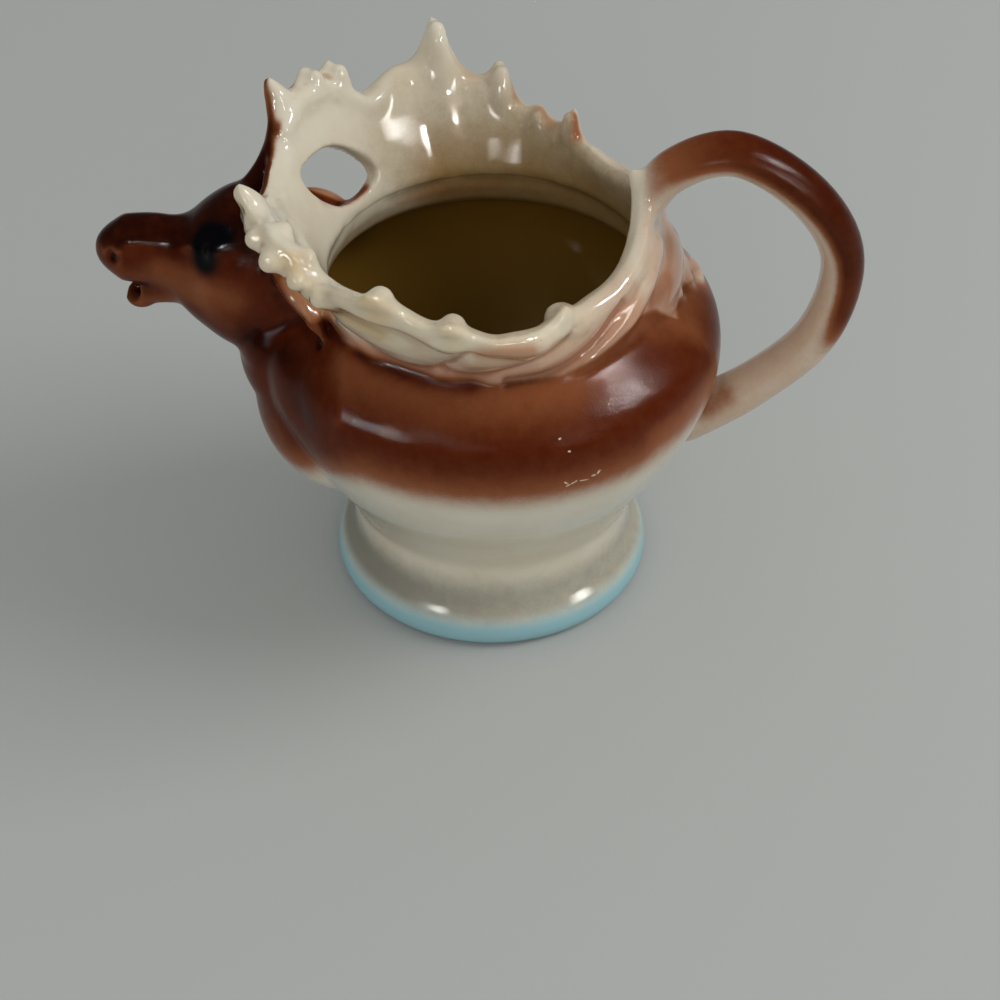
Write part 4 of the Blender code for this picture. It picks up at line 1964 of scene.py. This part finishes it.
@dataclass(frozen=True)
class Glaze:
    """Airbrushed glaze: gloss cream under satin brown, with the other coats between.

    Attributes:
        cream: bare glaze.
        warm: warmer clouds in the bare glaze.
        rust: thin brown.
        brown: full brown.
        umber: dark brown.
        black: eye patches.
        blush: pink of the folds.
        amber: yellow of the knobs.
        grey_and_shade: blue-grey of the foot, partly airbrush and partly painted shade.
        deep: inside of the jug.
        blue: edge of the foot.
        fleck: kiln specks.
        hollow_shade: painted shade in the hollows of the bare glaze.
        chip: body that shows in scratches.
        specular: specular level under the coat of gloss.
        gloss_rough: roughness of the coat of gloss.
    """

    cream: Colour = (0.75, 0.7, 0.565)
    warm: Colour = (0.69, 0.605, 0.455)
    rust: Colour = (0.3, 0.1, 0.038)
    brown: Colour = (0.085, 0.0122, 0.002)
    umber: Colour = (0.022, 0.003, 0.0008)
    black: Colour = (0.002, 0.002, 0.003)
    blush: Colour = (0.52, 0.29, 0.185)
    amber: Colour = (0.60, 0.40, 0.16)
    grey_and_shade: Colour = (0.2, 0.195, 0.165)
    deep: Colour = (0.205, 0.108, 0.015)
    blue: Colour = (0.24, 0.47, 0.54)
    fleck: Colour = (0.10, 0.035, 0.016)
    hollow_shade: Colour = (0.55, 0.36, 0.25)
    chip: Colour = (0.72, 0.62, 0.5)
    specular: float = 0.09
    gloss_rough: float = 0.07

    def material(self, name: str, chips: Sequence[tuple] = ()) -> bpy.types.Material:
        """Makes the glaze of one piece.

        Args:
            name: name of the material.
            chips: (start, end, half width) of pale scratches, in metres.

        Returns:
            The material.
        """
        material = bpy.data.materials.new(name)
        material.use_nodes = True
        graph = Graph(material.node_tree)
        shader = material.node_tree.nodes["Principled BSDF"]
        place = graph.node("ShaderNodeTexCoord", output="Object")
        coat = {
            kind: graph.node("ShaderNodeAttribute", output="Fac", attribute_name=kind.value)
            for kind in Coat
        }
        grain = graph.noise(place, 2300.0, 2.0, 0.6)
        dust = graph.noise(place, 5200.0, 1.0)
        cloud = graph.noise(place, 95.0, 3.0)
        mottle = graph.noise(place, 420.0, 3.0, 0.6)
        brown = coat[Coat.BROWN]
        edge = brown * (1.0 - brown) * 4.0
        brown = (brown + (grain - 0.5) * edge * 0.07 + (mottle - 0.5) * edge * 0.1).clamp()
        relief_shade = coat[Coat.RELIEF_SHADE]
        hollow, ridge = relief_shade.clamp(), (-relief_shade).clamp()

        clouds = cloud.ease(0.35, 0.7) * 0.6 + mottle.ease(0.5, 0.8) * 0.2
        colour = graph.blend(self.cream, self.warm, clouds)
        # Thin coats over the bare glaze; the blue-grey one is partly painted shade on the foot.
        for kind, tone, amount in (
            (Coat.BLUSH, self.blush, 1.0),
            (Coat.AMBER, self.amber, 0.8),
            (Coat.GREY_AND_SHADE, self.grey_and_shade, 0.9),
            (Coat.BLUE, self.blue, 0.9),
            (Coat.DEEP, self.deep, 1.0),
        ):
            edge = coat[kind] * (1.0 - coat[kind]) * 4.0
            broken = (mottle - 0.5) * edge * 0.3 + (grain - 0.5) * edge * 0.2
            colour = graph.blend(colour, tone, (coat[kind] * amount + broken).clamp())
        # Painted shadow line under the ledge inside the rim.
        height = graph.node("ShaderNodeSeparateXYZ", {0: place}, "Z") / MM
        off = height + (cloud - 0.5) * 0.5 - LEDGE
        ledge_shadow = 1.0 - off.maths("ABSOLUTE", off).ease(0.1, 0.34)
        colour = graph.blend(colour, self.umber, ledge_shadow * coat[Coat.DEEP].ease(0.02, 0.12) * 0.3)
        bare = 1.0 - brown
        # Painted shade in the hollows of the bare glaze.
        colour = graph.blend(colour, self.hollow_shade, hollow.ease(0.12, 0.8) * bare * 0.75, "MULTIPLY")
        colour = graph.blend(colour, self.rust, brown.ease(0.0, 0.45))
        full = brown.ease(0.25, 0.92) * (0.97 + (mottle - 0.5) * 0.2)
        colour = graph.blend(colour, self.brown, full.clamp())
        # Lighter brown on ridges: glaze thinned over edges, and in part a painted highlight.
        colour = graph.blend(colour, self.rust, (ridge.ease(0.2, 1.0) * brown * 0.45).clamp())
        # Dark coat, with painted shade in the hollows of the brown.
        dark = coat[Coat.DARK] * (1.0 + (mottle - 0.5) * 0.6) + hollow.ease(0.15, 0.8) * brown * 0.7
        colour = graph.blend(colour, self.umber, dark.clamp())
        colour = graph.blend(colour, self.black, coat[Coat.BLACK].ease(0.06, 1.0))

        cells = {"Vector": place, "Scale": 210.0, "Randomness": 1.0}
        gap = graph.node("ShaderNodeTexVoronoi", cells, "Distance")
        chance = graph.node(
            "ShaderNodeSeparateColor", {0: graph.node("ShaderNodeTexVoronoi", cells, "Color")}, 0
        )
        fleck = (1.0 - gap.ease(0.02, 0.05)) * chance.ease(0.8, 0.86)
        colour = graph.blend(colour, self.fleck, fleck * 0.7 * (1.0 - coat[Coat.DEEP]))
        chipped = None
        for start, end, width in chips:
            mark = graph.scratch(place, start, end, width) * grain.ease(0.36, 0.5)
            chipped = mark if chipped is None else (chipped + mark).clamp()
        if chipped is not None:
            colour = graph.blend(colour, self.chip, chipped)

        satin = brown * (1.0 - coat[Coat.DARK].clamp() * 0.4)
        rough = 0.14 + cloud * 0.08 + satin * (0.03 + (mottle - 0.5) * 0.1) + coat[Coat.DEEP] * 0.2
        matt = (coat[Coat.GREY_AND_SHADE] + coat[Coat.BLUE]).clamp()
        gloss = ((1.0 - brown.ease(0.1, 0.6)) * (1.0 - coat[Coat.DEEP] * 0.8) * (1.0 - matt)).clamp()
        tree = material.node_tree
        tree.links.new(colour.socket, shader.inputs["Base Color"])
        tree.links.new(rough.socket, shader.inputs["Roughness"])
        tree.links.new(gloss.socket, shader.inputs["Coat Weight"])
        height = grain * satin * 1.7 + dust * satin * 0.8 + mottle * 0.25 + cloud * 0.5
        bump = graph.node(
            "ShaderNodeBump", {"Height": height, "Strength": 0.22, "Distance": 0.00012}, "Normal"
        )
        tree.links.new(bump.socket, shader.inputs["Normal"])
        shader.inputs["Specular IOR Level"].default_value = self.specular
        shader.inputs["Coat Roughness"].default_value = self.gloss_rough
        return material


@dataclass(frozen=True)
class Lamp:
    """Rectangular light that looks at a place on the jug.

    Attributes:
        name: its name.
        toward: direction that it hangs in, from the place it looks at.
        reach: distance that it hangs at, in metres.
        size: width and height in metres.
        power: power in watts.
        aim: place it looks at, in millimetres.
        glint: whether it only shows in the gloss, as the others only shine.
        spread: degrees that its light fans out by.
        tone: colour of its light.
    """

    name: str
    toward: tuple[float, float, float]
    reach: float
    size: tuple[float, float]
    power: float
    aim: tuple[float, float, float] = (0.0, 0.0, 50.0)
    glint: bool = True
    spread: float = 180.0
    tone: Colour = (1.0, 0.985, 0.96)

    def hang(self, axis: float) -> None:
        """Hangs the lamp.

        Args:
            axis: X of the jug's axis.
        """
        data = bpy.data.lights.new(self.name, "AREA")
        data.shape = "RECTANGLE"
        data.size, data.size_y = self.size
        data.energy = self.power
        data.color = self.tone
        data.spread = math.radians(self.spread)
        item = bpy.data.objects.new(self.name, data)
        toward = Vector(self.toward).normalized()
        item.location = Vector(self.aim) * MM + Vector((axis, 0.0, 0.0)) + toward * self.reach
        item.visible_diffuse, item.visible_glossy = not self.glint, self.glint
        item.rotation_mode = "QUATERNION"
        item.rotation_quaternion = (-toward).to_track_quat("-Z", "Y")
        bpy.context.scene.collection.objects.link(item)


LAMPS = (
    Lamp("key", (0.7, 0.06, 0.63), 0.94, (0.55, 0.55), 3.8, glint=False),
    Lamp("fill", (0.0, -0.9, 0.42), 1.0, (0.8, 0.5), 1.6, glint=False),
    Lamp("glint_right", (0.72, 0.02, 0.69), 1.0, (0.06, 0.07), 0.02, (27.4, -27.5, 60.0), spread=8.0),
    Lamp("glint_left", (-0.67, -0.61, 0.42), 1.0, (0.06, 0.04), 0.0042, (-15.2, -38.4, 53.0), spread=2.6),
    Lamp("glint_rim", (0.72, 0.02, 0.69), 1.0, (0.06, 0.06), 1.4, (0.0, -30.0, 80.0)),
    Lamp("glint_snout", (-0.3, -0.7, 0.65), 0.3, (0.12, 0.018), 0.0042, (-57.5, -5.4, 72.4), spread=18.0),
    Lamp("glint_eye", (-0.3, -0.7, 0.65), 0.3, (0.03, 0.02), 0.0012, (-47.2, -10.5, 75.6), spread=3.0),
    Lamp("glint_palm", (0.79, -0.47, 0.4), 0.3, (0.12, 0.03), 0.004, (-20.2, 27.6, 77.6), spread=24.0),
    Lamp("glint_back", (-0.12, -0.92, 0.38), 0.3, (0.12, 0.03), 0.004, (2.1, 30.6, 70.8), spread=24.0),
    Lamp("glint_tine", (0.55, -0.53, 0.64), 0.6, (0.06, 0.14), 0.0014, (-38.9, 14.2, 90.0), spread=8.0),
    Lamp("glint_grip", (0.63, -0.68, 0.38), 0.6, (0.1, 0.06), 0.0056, (51.0, -4.2, 91.4), spread=8.0),
    Lamp("glint_foot_left", (-0.5, -0.7, 0.5), 0.2, (0.06, 0.03), 0.0028, (-8.1, -27.7, 6.4), spread=16.0),
    Lamp(
        "glint_foot_right", (0.88, -0.3, 0.37), 0.2, (0.08, 0.04), 0.0042, (19.6, -21.7, 6.0), spread=18.0
    ),
)


@dataclass(frozen=True)
class Studio:
    """Pale floor, soft light and camera.

    Attributes:
        floor: colour of the floor.
        sky: colour of the light all round.
        glow: strength of that light.
        veil: how much less of it shows in the gloss.
        lamps: lights.
        lens: focal length of the camera in millimetres.
        target: place that the camera looks at, from the foot of the jug's axis, in millimetres.
        azimuth: degrees that the camera stands toward the handle.
        elevation: degrees that the camera looks down.
        distance: metres from the camera to its target.
    """

    floor: Colour = (0.455, 0.468, 0.46)
    sky: Colour = (0.96, 0.975, 0.96)
    glow: float = 0.52
    veil: float = 0.46
    lamps: tuple[Lamp, ...] = LAMPS
    lens: float = 86.4
    target: tuple[float, float, float] = (1.637, 0.0, 11.203)
    azimuth: float = 4.5
    elevation: float = 41.0
    distance: float = 0.4708

    def build(self, axis: float) -> None:
        """Sets the studio.

        Args:
            axis: X of the jug's axis.
        """
        self.ground()
        self.air()
        for lamp in self.lamps:
            lamp.hang(axis)
        self.camera(axis)
        bpy.context.scene.view_settings.view_transform = "Standard"

    def ground(self) -> None:
        """Lays the floor."""
        bm = bmesh.new()
        bmesh.ops.create_grid(bm, x_segments=1, y_segments=1, size=4.0)
        mesh = bpy.data.meshes.new("floor")
        bm.to_mesh(mesh)
        bm.free()
        item = bpy.data.objects.new("floor", mesh)
        bpy.context.scene.collection.objects.link(item)
        material = bpy.data.materials.new("floor")
        material.use_nodes = True
        shader = material.node_tree.nodes["Principled BSDF"]
        shader.inputs["Base Color"].default_value = (*self.floor, 1.0)
        shader.inputs["Roughness"].default_value = 0.9
        shader.inputs["Specular IOR Level"].default_value = 0.1
        mesh.materials.append(material)

    def air(self) -> None:
        """Soft light from all round."""
        world = bpy.data.worlds.new("studio")
        world.use_nodes = True
        shade = world.node_tree.nodes["Background"]
        shade.inputs["Color"].default_value = (*self.sky, 1.0)
        graph = Graph(world.node_tree)
        gloss = graph.node("ShaderNodeLightPath", output="Is Glossy Ray")
        world.node_tree.links.new((self.glow - gloss * self.veil).socket, shade.inputs["Strength"])
        bpy.context.scene.world = world

    def camera(self, axis: float) -> None:
        """Camera at the angle of the photograph.

        Args:
            axis: X of the jug's axis.
        """
        data = bpy.data.cameras.new("camera")
        data.lens = self.lens
        data.sensor_width = 36.0
        data.clip_start = 0.01
        item = bpy.data.objects.new("camera", data)
        bpy.context.scene.collection.objects.link(item)
        azimuth, elevation = math.radians(self.azimuth), math.radians(self.elevation)
        level = math.cos(elevation)
        back = Vector((level * math.sin(azimuth), -level * math.cos(azimuth), math.sin(elevation)))
        item.location = Vector(self.target) * MM + Vector((axis, 0.0, 0.0)) + back * self.distance
        item.rotation_mode = "QUATERNION"
        item.rotation_quaternion = (-back).to_track_quat("-Z", "Y")
        bpy.context.scene.camera = item


# Paths that more than one pass follows, or that are long.
EAR_LINE: Path = ((-39.0, -12.6, 71.4), (-35.2, -15.6, 69.0), (-31.2, -18.4, 65.6), (-28.8, -21.0, 62.4))
EAR_EDGE: Path = ((-36.5, -13.4, 73.6), (-32.4, -16.2, 71.2), (-28.6, -18.8, 67.6))
LONG_FINGER: Path = ((32.5, 1.0, 67.6), (35.0, 4.5, 64.9), (37.6, 9.0, 61.2))
REAR_EDGE: Path = ((9.6, -36.8, 75.9), (4.7, -39.0, 77.2), (0.6, -39.2, 76.4))
FAR_WINDOW: Path = ((-32.8, 8.8, 73.3), (-30.3, 12.2, 71.0), (-28.0, 15.6, 69.9), (-26.0, 18.9, 70.3))
# Single passes of the airbrush, some of them painted shade: on both sides, and then on one side only.
SPRAYS: list[Spray] = mirrored(
    [
        Spray(((-50.6, -8.4, 75.2), (-50.2, -9.4, 72.4)), 3.2, 1.25, Coat.BLACK),
        Spray(((-49.2, -8.0, 76.6), (-46.8, -9.0, 77.4)), 2.9, 1.05, Coat.BLACK),
        # Thinner brown low on the side of the snout: a lighter tone that is in part a painted sheen.
        Spray(((-68.6, -4.6, 65.4), (-62.0, -5.6, 64.6), (-56.0, -6.6, 63.4)), 3.0, -0.3, Coat.BROWN),
        Spray(((-64.6, -3.0, 57.2), (-58.0, -4.5, 59.4)), 2.4, -0.4, Coat.BROWN),
        Spray(((-67.8, -4.9, 68.5),), 1.0, 0.8, Coat.DARK),
        # Thinner brown on the side of the snout and on the cheeks: a lighter tone that is in part a painted
        # sheen.
        Spray(((-59.3, -5.8, 67.9), (-54.0, -7.0, 67.5)), 3.4, -0.3, Coat.BROWN),
        Spray(((-50.0, -11.0, 66.8), (-45.6, -12.7, 66.3)), 4.2, -0.42, Coat.BROWN),
        Spray(((-52.0, -9.5, 63.0), (-46.0, -11.5, 59.0)), 3.0, -0.25, Coat.BROWN),
        # Darker brown in the crease of the throat and in the hollow behind the chest, in part painted
        # shade.
        Spray(((-42.7, -12.4, 57.7), (-40.3, -14.5, 56.7), (-36.0, -17.5, 58.5)), 3.2, 0.75, Coat.DARK),
        Spray(((-33.0, -22.0, 57.5), (-30.2, -28.0, 54.5)), 4.6, 0.6, Coat.DARK),
        Spray(((-43.6, -8.0, 49.0), (-41.0, -14.4, 45.1), (-37.0, -20.0, 43.0)), 2.6, -0.12, Coat.BROWN),
        # Painted shade in the crease under the ear.
        Spray(((-36.5, -12.8, 66.3), (-32.0, -15.8, 63.0), (-28.6, -20.2, 62.6)), 1.3, 0.4, Coat.DARK),
        Spray(EAR_LINE, 2.0, 0.8, Coat.BROWN),
        # Painted shade in the hollow of the ear.
        Spray(((-37.6, -13.6, 70.8), (-34.6, -16.0, 68.4), (-31.2, -18.6, 65.2)), 1.4, 0.5, Coat.DARK),
        Spray(EAR_EDGE, 2.4, 0.6, Coat.AMBER),
        Spray(EAR_EDGE, 2.6, 0.25, Coat.BROWN),
        # Painted shade along the crease under the antlers' lower edge, where no groove is cut.
        Spray(on_antler(Hand.LEFT, HEM[3:]), 1.2, 0.25, Coat.DARK),
        Spray(on_antler(Hand.LEFT, HEM[:5]), 2.0, 0.45, Coat.BROWN),
        Spray(((-17.4, -27.2, 65.1), (-14.6, -29.2, 64.9), (-11.9, -30.5, 64.6)), 0.4, 0.5, Coat.DARK),
        # Painted shade of a pit at the root of the ear.
        Spray(((-39.2, -11.4, 72.4),), 1.3, 0.9, Coat.DARK),
        Spray(((29.5, -10.0, 71.0), (31.8, -3.0, 71.0), (34.0, 3.0, 67.5)), 4.5, 0.9, Coat.BLUSH),
        Spray(((29.6, -11.5, 69.6), (31.2, -7.5, 70.5)), 3.0, 0.3, Coat.BROWN),
        # Painted shade at the lower root of the handle.
        Spray(((44.0, -3.0, 42.4), (40.0, -4.0, 39.6)), 2.8, 0.35, Coat.BROWN),
    ]
) + [
    Spray(LONG_FINGER, 2.4, -0.6, Coat.BROWN),
    Spray(LONG_FINGER, 3.2, 0.7, Coat.BLUSH),
    Spray(REAR_EDGE, 1.9, 1.0, Coat.BLUSH),
    Spray(REAR_EDGE, 1.9, 0.12, Coat.BROWN),
    Spray(((-21.3, -31.6, 77.3), (-17.0, -34.0, 76.6)), 2.8, 0.6, Coat.AMBER),
    # Painted shade on the far edge of the handle's web.
    Spray(((32.6, 5.0, 72.6), (35.9, 6.4, 66.2)), 1.2, 0.5, Coat.BROWN),
    Spray(((-30.0, -29.5, 88.0),), 2.4, 0.6, Coat.AMBER),
    Spray(on_antler(Hand.LEFT, ((140.0, 18.0), (130.0, 14.0), (122.0, 15.0)), 3.0), 2.4, 0.35, Coat.AMBER),
    Spray(on_antler(Hand.LEFT, ((112.6, 17.0), (112.6, 23.0)), 2.0), 2.4, 0.4, Coat.AMBER),
    Spray(on_antler(Hand.LEFT, ((95.0, 13.0), (95.0, 17.0)), 2.0), 2.2, 0.35, Coat.AMBER),
    Spray(((-36.4, -24.9, 90.0),), 1.6, 0.25, Coat.GREY_AND_SHADE),
    Spray(((-32.8, -29.1, 90.0),), 1.5, 0.35, Coat.GREY_AND_SHADE),
    Spray(((-24.6, -33.5, 84.0),), 1.8, 0.3, Coat.GREY_AND_SHADE),
    Spray(on_antler(Hand.LEFT, ((128.0, 14.0), (120.0, 16.0), (117.0, 15.0))), 1.3, 0.5, Coat.BLUSH),
    Spray(on_antler(Hand.LEFT, ((107.0, 15.0), (101.0, 14.4))), 1.2, 0.6, Coat.BLUSH),
    Spray(on_antler(Hand.LEFT, ((88.0, 10.5), (78.0, 9.0), (70.0, 10.0))), 1.3, 0.6, Coat.BLUSH),
    Spray(on_antler(Hand.RIGHT, ((89.0, 19.0), (88.0, 14.0)), -0.6), 1.5, 0.8, Coat.BLUSH),
    Spray(on_antler(Hand.RIGHT, ((65.0, 15.5), (64.0, 11.0)), -0.6), 1.5, 1.0, Coat.BLUSH),
    Spray(on_antler(Hand.RIGHT, ((65.0, 15.5), (64.0, 12.0)), -0.6), 1.2, 0.35, Coat.BROWN),
    Spray(on_antler(Hand.RIGHT, ((79.0, 13.0), (75.0, 11.0)), -0.6), 1.5, 0.8, Coat.BLUSH),
    Spray(on_antler(Hand.RIGHT, ((103.0, 24.0), (101.0, 18.0)), -0.6), 2.2, 0.4, Coat.BLUSH),
    Spray(FAR_WINDOW, 1.5, 0.8, Coat.BROWN),
]
# Scratches of the belly: start, end and half width.
CHIPS: list[tuple] = [
    ((16.3, -39.1, 49.1), (18.0, -38.4, 49.9), 0.22),
    ((16.0, -39.3, 50.2), (16.5, -39.0, 49.7), 0.22),
    ((18.6, -38.1, 49.7), (20.0, -37.4, 49.5), 0.2),
    ((20.6, -37.1, 50.1), (21.5, -36.6, 50.2), 0.28),
    ((21.5, -36.6, 50.2), (21.9, -36.3, 50.9), 0.28),
    ((14.8, -37.7, 58.6), (15.0, -37.6, 58.6), 0.22),
    ((16.5, -38.3, 56.4), (16.7, -38.3, 56.4), 0.24),
]


def main() -> None:
    """Makes the jug and its studio."""
    logging.basicConfig(level=logging.INFO, format="%(relativeCreated)6d %(message)s")
    low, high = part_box("pedestal_foot")
    shop = Workshop((low.x + high.x) / 2, bpy.data.collections.new("bench"))
    bpy.context.scene.collection.children.link(shop.bench)
    parts: list[SubAssembly] = [
        PedestalFoot(),
        Ear("left_ear", hand=Hand.LEFT),
        Ear("right_ear", hand=Hand.RIGHT),
        Handle(),
        Head(),
        Antler("left_antler", hand=Hand.LEFT, collar=NEAR_COLLAR),
        Antler("right_antler", hand=Hand.RIGHT),
        Bowl(),
    ]
    casting = Casting(shop, parts)
    casting.fuse()
    LOG.info("fused %d", len(casting.body.data.vertices))
    casting.soften()
    LOG.info("softened")
    casting.tool()
    past = casting.memory()
    LOG.info("tooled")
    lumps = casting.part()
    LOG.info("parted")
    brush = Airbrush(tuple(SPRAYS))
    across = Vector((shop.axis, 0.0, 0.0))
    chips = [
        (tuple(Vector(start) * MM + across), tuple(Vector(end) * MM + across), width * MM)
        for start, end, width in CHIPS
    ]
    for part in parts:
        piece = casting.finish(part.name, lumps[part.name], brush, past)
        glaze = Glaze().material(part.name + "_glaze", chips if part.name == Bowl.name else ())
        part.dress(piece, glaze)
        LOG.info("%s %d", part.name, len(piece.data.loop_triangles))
    shop.clear()
    Studio().build(shop.axis)


if __name__ == "__main__":
    main()
